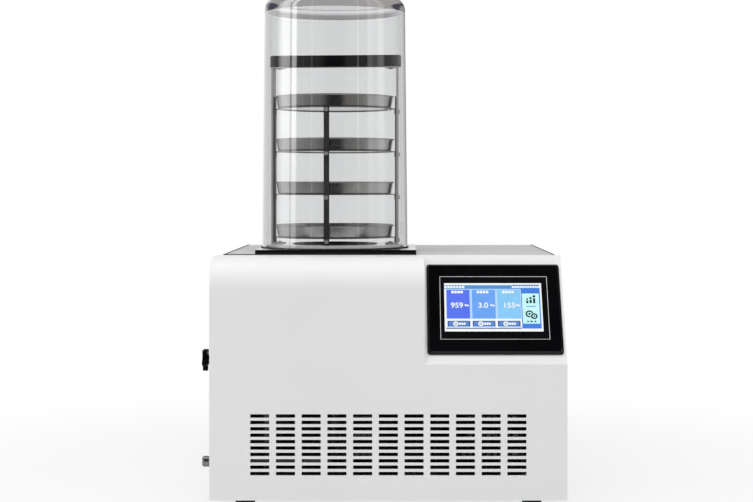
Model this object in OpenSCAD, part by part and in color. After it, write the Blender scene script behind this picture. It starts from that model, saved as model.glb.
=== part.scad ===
// Benchtop freeze dryer. A sheet-steel case holds a cold trap, let into its top, and the cooling
// circuit. A clear drying chamber stands on the trap over a stand of four round trays, and a touch
// panel sits on the sloped part of the front.
// Axes: +X to the right of someone facing the front, +Y to the back, +Z up, in millimetres.
// The origin is on the bench, under the middle of the whole outline.

/* [Case] */
// Width of the front panel
body_w = 560; // [540:5:680]
// Height of the panels, from their bottom edge to the flat top
case_h = 379; // [360:1:460]
// Depth of the case, from the front face to the rear edge of the cover
case_d = 562; // [550:2:690]
// Height of the rubber feet
foot_h = 20; // [12:1:35]
// Radius of a foot where it meets the base
foot_r = 18; // [12:1:24]
// How far the middle of a foot stands in from the edges of the base
foot_inset = 45; // [30:1:60]
// Thickness of the cover, rear panel and base sheet
sheet = 1.5; // [1:0.1:2]
// How far each side of the cover stands in from the end of the front panel
cover_inset = 4; // [3.5:0.5:8]
// Radius of the long top edges of the cover
cover_r = 6; // [4:1:15]
// Height of the folded flanges of the base and the rear panel
flange_h = 15; // [10:1:20]
// Gap between two panels that are screwed together
panel_gap = 0.3; // [0.2:0.1:0.6]
// How far the outer screws of the base stand in from the ends of its flanges
screw_inset = 52; // [30:1:80]

/* [Front panel] */
// Wall of the moulded front panel
front_t = 2; // [1.5:0.1:3]
// Depth of the front panel, from its face to the seam
hood_d = 112; // [100:1:140]
// Radius of the top front edge of the upright part
hood_r = 48; // [20:1:70]
// Where the upright part ends and the sloped part begins, from the middle of the case
step_x = 57; // [20:1:80]
// Height above the bottom edge at which the slope begins
slope_z = 212.7; // [200:0.1:240]
// How far back the slope runs
slope_run = 110; // [90:1:111]
// Width of the seam between front panel and cover
seam = 0.8; // [0.5:0.1:2]
// Length of the cover's tongue under the front panel
tongue = 15; // [8:1:25]

/* [Vent slots] */
// Slots in a row
vent_cols = 11; // [5:1:11]
// Rows of slots
vent_rows = 10; // [4:1:12]
// Length of a slot
vent_w = 30; // [15:1:34]
// Height of a slot
vent_h = 5.6; // [2:0.1:6]
// Corner radius of a slot
vent_r = 1; // [0.5:0.1:1.5]
// Distance between slots in a row
vent_pitch_x = 40.2; // [38:0.1:44]
// Distance between rows
vent_pitch_z = 10; // [8:0.5:14]
// Height of the lowest row above the bottom edge
vent_z = 42; // [30:1:60]

/* [Touch panel] */
// Width of the bezel
bezel_w = 214.3; // [190:0.1:218]
// Height of the bezel along the slope
bezel_h = 163.6; // [140:0.1:180]
// How far the bezel stands off the slope
bezel_t = 6; // [3:0.5:10]
// Corner radius of the bezel
bezel_r = 5; // [2:0.5:12]
// Width of the screen glass
glass_w = 173; // [150:1:180]
// Height of the screen glass
glass_h = 115; // [100:1:130]
// Thickness of the screen glass
glass_t = 2; // [1:0.2:4]
// How far the glass lies below the face of the bezel
glass_recess = 0.8; // [0.4:0.1:2]
// How far the middle of the bezel lies below the middle of the slope, along the slope
bezel_drop = 1.3; // [0:0.1:4]
// How much smaller than the bezel the housing behind it is, each way
housing_step = 19; // [12:1:26]
// Depth of the housing behind the slope
housing_d = 32; // [20:1:40]

/* [Trays and stand] */
// Radius of a tray at the top of its wall
tray_r = 100; // [70:1:122]
// How much the wall of a tray draws in towards its floor
tray_draft = 2.5; // [0:0.5:5]
// Height of a tray
tray_h = 21; // [12:1:30]
// Wall of a tray
tray_t = 1; // [0.6:0.1:1.5]
// Width of the rolled lip of a tray
tray_lip = 2.5; // [2:0.1:4]
// Height of the lowest tray above the seat plate
tray_first = 18; // [16:1:30]
// Distance from one tray to the next
tray_pitch = 73; // [50:1:90]
// Sideways clearance between the lip of a tray and the rails
tray_gap = 1; // [0.5:0.1:3]
// Thickness of the inner rails and the front post
rail_t = 2.5; // [2:0.1:4]
// Width of the inner rails
rail_w = 12; // [8:1:20]
// Width of the front post
post_w = 9; // [6:0.5:16]
// Thickness of the outer uprights
upright_t = 3; // [2:0.1:5]
// Width of the outer uprights
upright_w = 26; // [15:1:35]
// Thickness of a support ring
ring_t = 1.5; // [1:0.1:3]
// Width of a support ring
ring_w = 9; // [5:1:20]
// Height of the handle's underside above the seat plate
handle_z = 308.5; // [280:0.5:360]
// Height of the handle
handle_h = 20; // [12:1:30]
// Width of the handle, front to back
handle_w = 20; // [14:1:40]
// How far the handle reaches past each upright
handle_over = 5; // [2:0.5:8]
// Angle by which the stand is turned on its seat
stand_turn = -5.4; // [-20:0.2:20]
// Height of the stand's base disc
base_h = 6; // [4:0.5:10]
// Radius of the mouth in the stand's base disc
mouth_r = 68.4; // [50:0.2:80]
// Radius of the screws of the stand
pin_r = 2; // [1.5:0.1:3]

/* [Chamber] */
// Wall of the chamber tube
tube_t = 5; // [4:0.5:8]
// Length of the chamber tube
tube_h = 393.5; // [370:0.5:460]
// How much wider the tube's radius is at its foot than at its top
tube_flare = 4; // [0:0.5:8]
// Thickness of the chamber lid
lid_t = 31; // [12:1:40]
// Radius of the lid's shoulder
lid_r = 20; // [4:1:28]
// Thickness of the lid over its hollow
lid_roof = 10; // [6:1:11]
// Clearance between the handle and the inside of the tube
handle_gap = 1.5; // [1:0.5:6]
// Thickness of the gasket under the tube
gasket_t = 1.5; // [1:0.1:4]

/* [Cold trap] */
// Middle of the trap, from the middle of the case
trap_x = -93; // [-100:1:-80]
// Distance from the seam to the front edge of the seat plate
plate_back = 3; // [1:1:12]
// How far the middle of the seat plate lies to the right of the trap's axis
plate_dx = 6; // [-6:1:6]
// Thickness of the seat plate
plate_t = 8; // [5:1:14]
// How far the seat plate stands out past the foot of the tube
plate_margin = 7.5; // [4:0.5:12]
// Depth of the trap below the seat plate
trap_depth = 150; // [110:1:155]
// Wall of the trap
trap_t = 1.5; // [1:0.1:2]
// Width of the land that the stand rests on, outside the trap's mouth
seat_land = 13; // [10:0.5:20]
// Width of the flange at the top of the trap
trap_flange = 8; // [6:0.5:9.5]
// Radius of the tube of the evaporator coil
coil_tube_r = 4.5; // [3:0.5:5]
// Distance between the turns of the evaporator coil
coil_pitch = 16; // [12:0.5:18]
// Thickness of the insulation outside the coil
foam_t = 34; // [20:1:36]
// Thickness of the insulation under the trap
foam_base = 32; // [20:1:36]
// Radius of the guide tube
guide_r = 60; // [40:1:66]
// Length of the guide tube below the stand
guide_h = 90; // [50:1:105]

/* [Valve and drain] */
// Distance of the valve and the drain fitting from the front face
side_y = 150; // [145:1:175]
// Height of the vent valve above the bottom edge of the panels
valve_z = 204.6; // [190:0.1:230]
// Radius of the valve knob over its lobes
knob_r = 19; // [14:0.5:26]
// Thickness of the valve knob
knob_t = 8; // [6:0.5:14]
// Lobes on the valve knob
knob_lobes = 5; // [3:1:8]
// How far the knob reaches out from the side of the cover
knob_reach = 31.5; // [28:0.5:45]
// Radius of the valve stem
stem_r = 3; // [2:0.5:4]
// Height of the drain fitting above the bottom edge of the panels
drain_z = 35.7; // [30:0.1:60]
// Radius of the collar on the drain fitting
drain_r = 8.9; // [7:0.1:12]
// Radius of the bore of the drain fitting
drain_bore_r = 4; // [3:0.1:5]
// How far the drain fitting reaches out from the side of the cover
drain_reach = 32.7; // [28:0.1:45]
// Radius of the drain and vent hoses
hose_r = 6; // [4:0.5:7]

/* [Vacuum line] */
// Radius of the bore of the vacuum port and its pipe
vac_bore_r = 12.5; // [8:0.5:13]
// Wall of the vacuum pipe
vac_t = 1.5; // [1:0.1:2]
// Radius of the clamping flange of the vacuum port
vac_flange_r = 20; // [18:0.5:24]
// How far the vacuum port reaches out behind the rear panel
vac_reach = 34; // [24:1:50]
// How far the vacuum pipe stands to the left of the trap's axis
vac_off = 55; // [45:1:60]
// Height of the vacuum pipe above the bench
vac_z = 190; // [175:1:195]

/* [Cooling] */
// Middle of the condenser, from the middle of the case
cond_x = 70; // [60:1:80]
// Length of the condenser
cond_w = 280; // [240:5:290]
// Height of the condenser
cond_h = 170; // [140:5:175]
// Depth of the condenser
cond_d = 50; // [40:1:56]
// Distance of the condenser from the front face
cond_y = 24; // [20:1:30]
// Distance between the fins
fin_pitch = 10; // [8:1:20]
// Thickness of a fin
fin_t = 0.6; // [0.4:0.1:1]
// Radius of the condenser's tubes
cond_tube_r = 4.5; // [3:0.5:5]
// Levels of tubes in the condenser
cond_levels = 6; // [4:1:6]
// Radius over the fan blades
fan_r = 74; // [50:1:76]
// Radius of the fan hub
fan_hub_r = 24; // [18:1:30]
// Number of fan blades
fan_blades = 5; // [3:1:9]
// Pitch of the fan blades
fan_pitch = 32; // [15:1:45]
// Radius of the fan shaft
fan_shaft_r = 4; // [3:0.5:6]
// Running clearance of shafts and pins, on the radius
run_gap = 0.05; // [0.02:0.01:0.1]
// Radius of the compressor shell
comp_r = 75; // [60:1:80]
// Height of the compressor shell
comp_h = 185; // [150:5:190]
// Height of the compressor's rubber grommets
grommet_h = 18; // [12:1:22]

/* [Electrics] */
// Height of the inlet, switch and outlet above the bench
socket_z = 75; // [60:1:90]
// Width of the power inlet
inlet_w = 27.5; // [26:0.5:30]
// Height of the power inlet
inlet_h = 20; // [18:0.5:24]
// Angle by which the rocker of the switch is tipped each way
rocker_tip = 8; // [4:1:12]

/* [Hidden] */
$fn = 64;

eps = 0.01;              // overlap of a cutting tool past a face
levels = 4;              // trays in the stand

// Case, measured from the middle of the front face at bench level
panel_z = foot_h;                                  // bottom edge of the panels
top_z = foot_h + case_h;                           // flat top
cover_w = body_w - 2 * cover_inset;
cover_in = cover_w / 2 - sheet;                    // inside face of the cover's sides
cover_flat = cover_w - 2 * cover_r;                // flat top between the two bends
base_w = 2 * (cover_in - panel_gap);
base_y0 = flange_h + panel_gap;                    // front edge of the base
rear_y = case_d - 2;                               // outside face of the rear panel
rear_in = rear_y - sheet;                          // inside face of the rear panel
base_y1 = rear_in - panel_gap;                     // rear edge of the base
floor_z = panel_z + sheet;                         // top of the base sheet
cover_y0 = hood_d + seam;                          // front edge of the cover
tongue_z = top_z - front_t - panel_gap - sheet;    // underside of the cover's top tongue
screw_r = 2;                                       // M4 case screws
screw_hole_r = screw_r + 0.15;
tapped_r = screw_r + run_gap;

// Slope of the front panel
slope_a = atan2(slope_run, case_h - slope_z);      // tilt of the slope from upright
hmi_x = (step_x + body_w / 2) / 2;
housing_w = bezel_w - housing_step;
housing_h = bezel_h - housing_step;
cutout_gap = 1;                                    // clearance of the housing in its cut-out
bezel_gap = 0.1;                                   // thickness of the seal under the bezel
glass_z = bezel_gap + bezel_t - glass_recess - glass_t;  // back of the glass, above the slope
glass_seal = 0.05;                                 // thickness of the seal under the glass

// Stand, worked outwards from the trays
rail_r = tray_r + tray_lip + tray_gap;             // inside face of the rails
upright_r = rail_r + rail_t;                       // inside face of the uprights
upright_out = upright_r + upright_t;
base_r = upright_out + 4;                          // rim of the base disc
handle_len = 2 * (upright_out + handle_over);
tray_foot_r = tray_r - tray_draft;
disc_t = 1.5;                                      // sheet of the base disc
ring_lug = 8;                                      // height of a support ring's tabs
lug_t = 1.2;

// Chamber, worked outwards from the handle
tube_top_r = handle_len / 2 + handle_gap + tube_t;
tube_foot_r = tube_top_r + tube_flare;
plate_side = 2 * (tube_foot_r + plate_margin);
trap_y = cover_y0 + plate_back + plate_side / 2;
seat_z = top_z + plate_t;                          // top of the seat plate

// Trap
trap_r = base_r - seat_land;                       // inside of the well
trap_out = trap_r + trap_t;
flange_r = trap_out + trap_flange - trap_t;
seat_gap = 0.2;                                    // clearance of the flange in its recess
coil_gap = 0.3;
coil_turns = 5.5;
coil_steps = 24;                                   // rings in a turn
coil_r = (trap_out + coil_gap + coil_tube_r) / cos(180 / coil_steps); // middle line of the coil
coil_z0 = seat_z - trap_depth + 14;                // lowest turn
coil_z1 = coil_z0 + coil_turns * coil_pitch;       // highest turn
pocket_r = coil_r + coil_tube_r + 0.5;             // hollow in the insulation
foam_r = pocket_r + foam_t;
foam_z = seat_z - trap_depth - trap_t - foam_base; // underside of the insulation
lead_x = trap_x + foam_r + 12;                     // ends of the coil's leads
drain_stub_r = 6;
cradle_t = 2;

// Side fittings
side_x = -cover_w / 2;                             // outside face of the cover's left side
knob_x = side_x - knob_reach;                      // outermost face of the knob
drain_x = side_x - drain_reach;
valve_h = panel_z + valve_z;
drain_h = panel_z + drain_z;

// Cooling
comp_x = body_w / 2 - 130;
comp_y = case_d - 162;
comp_z = floor_z + grommet_h;                      // underside of the shell
fan_x = cond_x - 20;
fan_y = cond_y + cond_d + 4;                       // front of the shroud
fan_z = floor_z + 95;
cond_x0 = cond_x - cond_w / 2;
cond_x1 = cond_x + cond_w / 2;
cond_top = floor_z + cond_h - 12;                  // highest tubes
cond_step = (cond_h - 28) / (cond_levels - 1);
cond_low = cond_top - cond_step * (cond_levels - 1);
row_front = cond_y + 0.27 * cond_d;
row_back = cond_y + 0.73 * cond_d;
stub_x = cond_x1 + 24;                             // ends of the condenser's stubs
pipe_r = 5;
liquid_r = 3.2;
pipe_x = body_w / 2 - 35;                          // pipes along the right side
suction_x = comp_x - 35;
drier_r = 14;
drier_y0 = 140;
drier_y1 = 250;
vac_x = trap_x - vac_off;
vac_out_r = vac_bore_r + vac_t;
pipe_step = 0.5;                                   // the pipe's bore is this much wider than the port's
vent_line_x = side_x + 24;                         // vent hose along the left side
nipple_drop = 19;                                  // from the valve's axis to its hose

// Outline of the whole, for the origin
left_x = min(-body_w / 2, knob_x, drain_x);
back_y = rear_y + vac_reach;

// Moves a piece from the frame of the case into the frame of the part.
module on_bench() {
    translate([-(left_x + body_w / 2) / 2, -back_y / 2, 0]) children();
}

// Stands a profile in the YZ plane up and runs it along +X from x0.
module along_x(x0, len) {
    translate([x0, 0, 0]) rotate([90, 0, 90]) linear_extrude(len) children();
}

// Stands a profile in the XZ plane up and runs it along +Y from y0.
module along_y(y0, len) {
    translate([0, y0 + len, 0]) rotate([90, 0, 0]) linear_extrude(len) children();
}

// Puts a piece on the trap's axis, at the height of the seat plate.
module on_seat() {
    translate([trap_x, trap_y, seat_z]) children();
}

// The same, turned as the stand is turned.
module on_stand() {
    on_seat() rotate(stand_turn) children();
}

// Centre of the slope, +Y up the slope and +Z out of it.
module on_slope() {
    translate([hmi_x, slope_run / 2, panel_z + (case_h + slope_z) / 2])
        rotate([90 - slope_a, 0, 0]) translate([0, -bezel_drop, 0]) children();
}

module rounded(w, h, r) {
    square([w - 2 * r, h], center = true);
    square([w, h - 2 * r], center = true);
    for (x = [-1, 1], y = [-1, 1]) translate([x * (w / 2 - r), y * (h / 2 - r)]) circle(r);
}

// A block with rounded upright edges, from z = 0 up.
module rounded_block(w, d, h, r) {
    linear_extrude(h) rounded(w, d, r);
}

module disc(r, h) {
    cylinder(r = r, h = h);
}

module ring(r_out, r_in, h) {
    linear_extrude(h) difference() {
        circle(r_out);
        circle(r_in);
    }
}

// ---- Pipes: straight lengths and quarter bends along points joined by square corners ----

function unit(v) = v / norm(v);

module run(a, b, r) {
    d = b - a;
    translate(a)
        rotate([0, acos(d[2] / norm(d)), atan2(d[1], d[0])])
        cylinder(r = r, h = norm(d));
}

module quarter(corner, a, b, bend, r) {
    n = cross(a, b);
    c = corner - bend * a + bend * b;
    multmatrix([
        [-b[0], a[0], n[0], c[0]],
        [-b[1], a[1], n[1], c[1]],
        [-b[2], a[2], n[2], c[2]],
        [0, 0, 0, 1],
    ]) rotate_extrude(angle = 90) translate([bend, 0]) circle(r);
}

module pipe(p, bend, r) {
    last = len(p) - 1;
    for (i = [0 : last - 1]) {
        d = unit(p[i + 1] - p[i]);
        from = i == 0 ? p[i] : p[i] + bend * d;
        to = i == last - 1 ? p[i + 1] : p[i + 1] - bend * d;
        run(from, to, r);
    }
    for (i = [1 : 1 : last - 1])
        quarter(p[i], unit(p[i] - p[i - 1]), unit(p[i + 1] - p[i]), bend, r);
}

// ---- Case ----

module upright_outline(t) {
    translate([t, 0]) square([hood_d - t, case_h - hood_r]);
    translate([hood_r, 0]) square([hood_d - hood_r, case_h - t]);
    translate([hood_r, case_h - hood_r]) circle(hood_r - t);
}

module sloped_outline(t) {
    polygon([
        [t, 0],
        [t, slope_z - t * tan(slope_a / 2)],
        [slope_run + t * tan((90 - slope_a) / 2), case_h - t],
        [hood_d, case_h - t],
        [hood_d, 0],
    ]);
}

module hood_block(t) {
    along_x(-body_w / 2 + t, step_x + body_w / 2 - 2 * t) upright_outline(t);
    along_x(step_x - t - eps, body_w / 2 - step_x + eps) sloped_outline(t);
}

module vent_slots() {
    x0 = -(vent_cols - 1) / 2 * vent_pitch_x;
    for (i = [0 : vent_cols - 1], j = [0 : vent_rows - 1])
        translate([x0 + i * vent_pitch_x, vent_z + j * vent_pitch_z])
            rounded(vent_w, vent_h, vent_r);
}

module front_panel() color("whitesmoke") on_bench() {
    difference() {
        translate([0, 0, panel_z]) hood_block(0);
        translate([0, eps, panel_z - eps]) hood_block(front_t);
        translate([0, 0, panel_z]) along_y(-eps, front_t + 3 * eps) vent_slots();
        on_slope() translate([0, 0, -housing_step])
            rounded_block(housing_w + 2 * cutout_gap, housing_h + 2 * cutout_gap, 2 * housing_step, 3);
    }
    // return along the bottom edge
    translate([-body_w / 2 + front_t, front_t, panel_z])
        cube([body_w - 2 * front_t, flange_h - front_t, front_t]);
}

module cover_outline(t) {
    w = cover_w - 2 * t;
    translate([-w / 2, 0]) square([w, case_h - cover_r]);
    translate([-w / 2 + cover_r - t, 0]) square([w - 2 * cover_r + 2 * t, case_h - t]);
    for (s = [-1, 1])
        translate([s * (cover_w / 2 - cover_r), case_h - cover_r]) circle(cover_r - t);
}

module side_screw_places() {
    first = cover_y0 + screw_inset;
    last = base_y1 - screw_inset;
    for (y = [first, (first + last) / 2, last])
        translate([0, y, panel_z + flange_h / 2]) children();
}

module rear_screw_places() {
    reach = base_w / 2 - screw_inset;
    for (x = [-reach, 0, reach]) translate([x, 0, panel_z + flange_h / 2]) children();
}

// The cover is a flat top sheet, welded in between two side sheets that are bent over at the top.
module top_cover() color("gainsboro") on_bench() {
    difference() {
        translate([-cover_flat / 2, cover_y0, top_z - sheet])
            cube([cover_flat, case_d - cover_y0, sheet]);
        translate([trap_x, trap_y, top_z - 2 * sheet]) disc(trap_out + 2.5, 3 * sheet);
    }
    // tongue that slips under the flat top of the front panel
    tongue_w = step_x - 2 * front_t + cover_flat / 2;
    translate([-cover_flat / 2, hood_d - tongue, tongue_z])
        cube([tongue_w, tongue + seam + 2 * sheet, sheet]);
    translate([-cover_flat / 2, cover_y0, tongue_z])
        cube([tongue_w, 2 * sheet, top_z - tongue_z - sheet / 2]);
}

module cover_sides() color("gainsboro") on_bench() {
    difference() {
        translate([0, 0, panel_z]) along_y(cover_y0, case_d - cover_y0) difference() {
            cover_outline(0);
            translate([0, -eps]) cover_outline(sheet);
            translate([-cover_flat / 2, 0]) square([cover_flat, case_h + eps]);
        }
        side_screw_places() rotate([0, 90, 0])
            cylinder(r = screw_hole_r, h = 2 * body_w, center = true);
        translate([side_x, side_y, valve_h]) rotate([0, 90, 0])
            cylinder(r = 9 + run_gap, h = 4 * sheet, center = true);
        translate([side_x, side_y, drain_h]) rotate([0, 90, 0])
            cylinder(r = 6.5 + run_gap, h = 4 * sheet, center = true);
    }
    // tongues that slip inside the front panel
    for (s = [-1, 1])
        translate([s * (cover_w / 2 - sheet / 2) - sheet / 2, hood_d - tongue, panel_z + flange_h])
            cube([sheet, tongue + seam, slope_z - flange_h]);
}

module louvre_slots() {
    for (j = [0 : 9]) translate([comp_x, 118 + 11 * j]) rounded(180, 5, 2.4);
}

module rear_panel() color("gainsboro") on_bench() {
    side_clear = 3; // the folded sides start this far above the base's flanges
    fit = sheet + panel_gap;
    difference() {
        translate([0, 0, panel_z]) along_y(rear_y - flange_h, flange_h) cover_outline(fit);
        translate([0, 0, panel_z - eps]) along_y(rear_y - flange_h - eps, flange_h - sheet + eps)
            cover_outline(fit + sheet);
        // no folds beside the flanges of the base
        translate([-body_w / 2, rear_y - flange_h - eps, panel_z - eps])
            cube([body_w, flange_h - sheet + eps, flange_h + side_clear]);
        along_y(rear_in - eps, sheet + 2 * eps) {
            louvre_slots();
            translate([vac_x, vac_z]) circle(vac_out_r + panel_gap);
            translate([inlet_x, socket_z]) rounded(inlet_body_w + 1, inlet_body_h + 1, 2);
            translate([outlet_x, socket_z]) rounded(inlet_body_w + 1, inlet_body_h + 1, 2);
            translate([switch_x, socket_z]) square([switch_w + 0.6, switch_h + 0.6], center = true);
        }
        rear_screw_places() translate([0, rear_y, 0]) rotate([90, 0, 0])
            cylinder(r = screw_hole_r, h = 6 * sheet, center = true);
    }
}

module base_pan() color("silver") on_bench() {
    difference() {
        translate([-base_w / 2, base_y0, panel_z]) cube([base_w, base_y1 - base_y0, flange_h]);
        translate([-base_w / 2 + sheet, base_y0 + sheet, floor_z])
            cube([base_w - 2 * sheet, base_y1 - base_y0 - 2 * sheet, flange_h]);
        side_screw_places() rotate([0, 90, 0]) cylinder(r = tapped_r, h = 2 * body_w, center = true);
        rear_screw_places() translate([0, rear_y, 0]) rotate([90, 0, 0])
            cylinder(r = tapped_r, h = 8 * sheet, center = true);
    }
}

module feet() color("dimgray") on_bench() {
    for (x = [-1, 1], y = [base_y0 + foot_inset, base_y1 - foot_inset])
        translate([x * (base_w / 2 - foot_inset), y, 0]) rotate_extrude() polygon([
            [0, foot_h],
            [0, 4],
            [foot_r * 0.3, 4],
            [foot_r * 0.3, 0],
            [foot_r * 0.72, 0],
            [foot_r * 0.8, 1.5],
            [foot_r, foot_h - 2],
            [foot_r, foot_h],
        ]);
}

// A pan-head screw along +X: the underside of its head is at the origin.
module pan_screw(shank) {
    rotate([0, 90, 0]) {
        translate([0, 0, -shank]) cylinder(r = screw_r, h = shank);
        rotate_extrude() {
            square([4, 1]);
            intersection() {
                translate([0, -2.6]) circle(5.2);
                square([4, 2.6]);
            }
        }
    }
}

module panel_screws() color("silver") on_bench() {
    reach = sheet + panel_gap + sheet + 3;
    for (s = [0, 1]) mirror([s, 0, 0]) side_screw_places()
        translate([cover_w / 2, 0, 0]) pan_screw(reach);
    rear_screw_places() translate([0, rear_y, 0]) rotate(90) pan_screw(reach);
}

// ---- Touch panel ----

module hmi_bezel() color("black") on_bench() on_slope() {
    bevel = bezel_t * 0.6;
    difference() {
        translate([0, 0, bezel_gap]) {
            rounded_block(bezel_w, bezel_h, bezel_t - bevel, bezel_r);
            hull() {
                translate([0, 0, bezel_t - bevel]) rounded_block(bezel_w, bezel_h, eps, bezel_r);
                translate([0, 0, bezel_t - eps])
                    rounded_block(bezel_w - 2 * bevel, bezel_h - 2 * bevel, eps, bezel_r);
            }
        }
        translate([0, 0, glass_z - glass_seal]) linear_extrude(bezel_t)
            square([glass_w, glass_h], center = true);
        linear_extrude(bezel_t) square([glass_w - 6, glass_h - 6], center = true);
    }
}

module hmi_screen() color("royalblue") on_bench() on_slope() {
    translate([0, 0, glass_z]) linear_extrude(glass_t)
        square([glass_w - 0.4, glass_h - 0.4], center = true);
}

module hmi_housing() color("dimgray") on_bench() on_slope() {
    difference() {
        translate([0, 0, -housing_d]) rounded_block(housing_w, housing_h, housing_d, 3);
        // bay for the panel behind the glass
        translate([0, 0, -4]) linear_extrude(5) square([glass_w - 6, glass_h - 6], center = true);
        // ribs between cooling slots across the back
        for (i = [-4 : 4]) translate([i * 16, 0, -housing_d - eps])
            linear_extrude(2) square([5, housing_h * 0.7], center = true);
    }
}

// ---- Seat, chamber and trap ----

module seat_plate() color("black") on_bench() on_seat() {
    difference() {
        translate([plate_dx, 0, -plate_t])
            rounded_block(plate_side, plate_side, plate_t, 2);
        translate([0, 0, -plate_t - eps]) disc(trap_out + 0.3, plate_t + 1);
        translate([0, 0, -trap_t]) disc(flange_r + seat_gap, plate_t);
    }
}

module bell_gasket() color("dimgray") on_bench() on_seat() {
    rotate_extrude() polygon([
        [tube_foot_r - tube_t - 1.5, 0],
        [tube_foot_r + 2, 0],
        [tube_foot_r + 2, gasket_t - 0.3],
        [tube_foot_r + 1.7, gasket_t],
        [tube_foot_r - tube_t - 1.5, gasket_t],
    ]);
}

module chamber_tube() color("lightgray", 0.35) on_bench() on_seat() {
    translate([0, 0, gasket_t]) rotate_extrude($fn = 128) polygon([
        [tube_foot_r - tube_t, 0],
        [tube_foot_r, 0],
        [tube_top_r, tube_h],
        [tube_top_r - tube_t, tube_h],
    ]);
}

module chamber_lid() color("lightgray", 0.35) on_bench() on_seat() {
    shoulder = min(lid_r, lid_t - 1);
    inner_r = tube_top_r - tube_t;
    hollow = lid_t - lid_roof;
    cone = 27.5; // how far the hollow's slanted wall comes in
    translate([0, 0, gasket_t + tube_h]) rotate_extrude($fn = 128) difference() {
        union() {
            square([tube_top_r, lid_t - shoulder]);
            square([tube_top_r - shoulder, lid_t]);
            translate([tube_top_r - shoulder, lid_t - shoulder]) circle(shoulder);
        }
        // hollow underside: a short upright wall, then a cone up to the flat roof
        polygon([
            [-eps, -eps],
            [inner_r, -eps],
            [inner_r, hollow * 0.29],
            [inner_r - cone, hollow],
            [-eps, hollow],
        ]);
        translate([-2 * shoulder, -shoulder]) square([2 * shoulder, 3 * shoulder]);
        translate([-eps, -2 * shoulder]) square([tube_top_r + 1, 2 * shoulder]);
    }
}

module trap_well() color("silver") on_bench() on_seat() {
    knuckle = 14; // inside radius of the drawn corner
    difference() {
        union() {
            translate([0, 0, -trap_t]) disc(flange_r, trap_t);
            translate([0, 0, -trap_depth + knuckle]) disc(trap_out, trap_depth - knuckle);
            translate([0, 0, -trap_depth - trap_t]) disc(trap_r - knuckle, knuckle + trap_t);
            translate([0, 0, -trap_depth + knuckle]) rotate_extrude()
                translate([trap_r - knuckle, 0]) intersection() {
                    circle(knuckle + trap_t);
                    translate([-eps, -2 * knuckle]) square(2 * knuckle);
                }
            translate([0, 0, foam_z - seat_z - 8]) disc(drain_stub_r, foam_base + 8);
            translate([-vac_off, 0, foam_z - seat_z - 8]) disc(vac_out_r, foam_base + 8);
        }
        translate([0, 0, -trap_depth + knuckle]) disc(trap_r, trap_depth);
        translate([0, 0, -trap_depth]) disc(trap_r - knuckle, trap_depth);
        translate([0, 0, -trap_depth + knuckle]) rotate_extrude()
            translate([trap_r - knuckle, 0]) intersection() {
                circle(knuckle);
                translate([-eps, -2 * knuckle]) square(2 * knuckle);
            }
        translate([0, 0, foam_z - seat_z - 8 - eps]) disc(drain_bore_r, foam_base + 12);
        translate([-vac_off, 0, foam_z - seat_z - 8 - eps]) disc(vac_bore_r, foam_base + 12);
    }
}

// A tube swept along points, as one skin with closed ends.
module sweep(p, r, sides) {
    n = len(p);
    dirs = [for (i = [0 : n - 1]) unit(p[min(i + 1, n - 1)] - p[max(i - 1, 0)])];
    points = [
        for (i = [0 : n - 1])
            let (side = unit(cross(dirs[i], [0, 0, 1])), up = cross(side, dirs[i]))
            for (k = [0 : sides - 1])
                p[i] + r * (cos(360 * k / sides) * side + sin(360 * k / sides) * up)
    ];
    walls = [
        for (i = [0 : n - 2], k = [0 : sides - 1])
            [i * sides + k, (i + 1) * sides + k, (i + 1) * sides + (k + 1) % sides, i * sides + (k + 1) % sides]
    ];
    first_end = [for (k = [0 : sides - 1]) k];
    last_end = [for (k = [sides - 1 : -1 : 0]) (n - 1) * sides + k];
    polyhedron(points, concat(walls, [first_end, last_end]));
}

module evaporator_coil() color("peru") on_bench() {
    last = coil_steps * coil_turns;
    turns = [
        for (i = [0 : last])
            let (a = 90 + 360 * i / coil_steps)
            [trap_x + coil_r * cos(a), trap_y + coil_r * sin(a), coil_z0 + coil_pitch * i / coil_steps]
    ];
    sweep(concat(
        [[lead_x, trap_y + coil_r, coil_z0]],
        turns,
        [[lead_x, trap_y - coil_r, coil_z1]]
    ), coil_tube_r, 10);
}

module trap_insulation() color("khaki") on_bench() {
    top = tongue_z - panel_gap;
    lead_hole = coil_tube_r + 1;
    difference() {
        translate([trap_x, trap_y, foam_z]) disc(foam_r, top - foam_z);
        translate([trap_x, trap_y, seat_z - trap_depth - trap_t]) disc(pocket_r, trap_depth);
        translate([trap_x, trap_y, foam_z - 1]) disc(drain_stub_r + 0.5, foam_base + 2);
        translate([vac_x, trap_y, foam_z - 1]) disc(vac_out_r + 0.5, foam_base + 2);
        run([trap_x, trap_y + coil_r, coil_z0], [lead_x, trap_y + coil_r, coil_z0], lead_hole);
        run([trap_x, trap_y - coil_r, coil_z1], [lead_x, trap_y - coil_r, coil_z1], lead_hole);
    }
}

module trap_cradle() color("silver") on_bench() {
    leg = 20;
    dx = trap_r + 5;
    legs = [for (x = [-1, 1], y = [-1, 1]) [trap_x + x * dx, trap_y + (y < 0 ? -68 : 92)]];
    difference() {
        translate([trap_x - dx - leg / 2, trap_y - 68 - leg / 2, foam_z - cradle_t])
            cube([2 * dx + leg, 160 + leg, cradle_t]);
        translate([trap_x, trap_y, foam_z - 2 * cradle_t]) disc(drain_stub_r + 3, 3 * cradle_t);
        translate([vac_x, trap_y, foam_z - 2 * cradle_t]) disc(vac_out_r + 2, 3 * cradle_t);
    }
    for (p = legs) translate([p[0], p[1], floor_z]) {
        difference() {
            translate([-leg / 2, -leg / 2, 0]) cube([leg, leg, foam_z - floor_z - cradle_t / 2]);
            translate([(p[0] < trap_x ? 1 : -1) * cradle_t - leg / 2 - eps, cradle_t - leg / 2, cradle_t])
                cube([leg + 2 * eps, leg, foam_z]);
        }
    }
}

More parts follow.
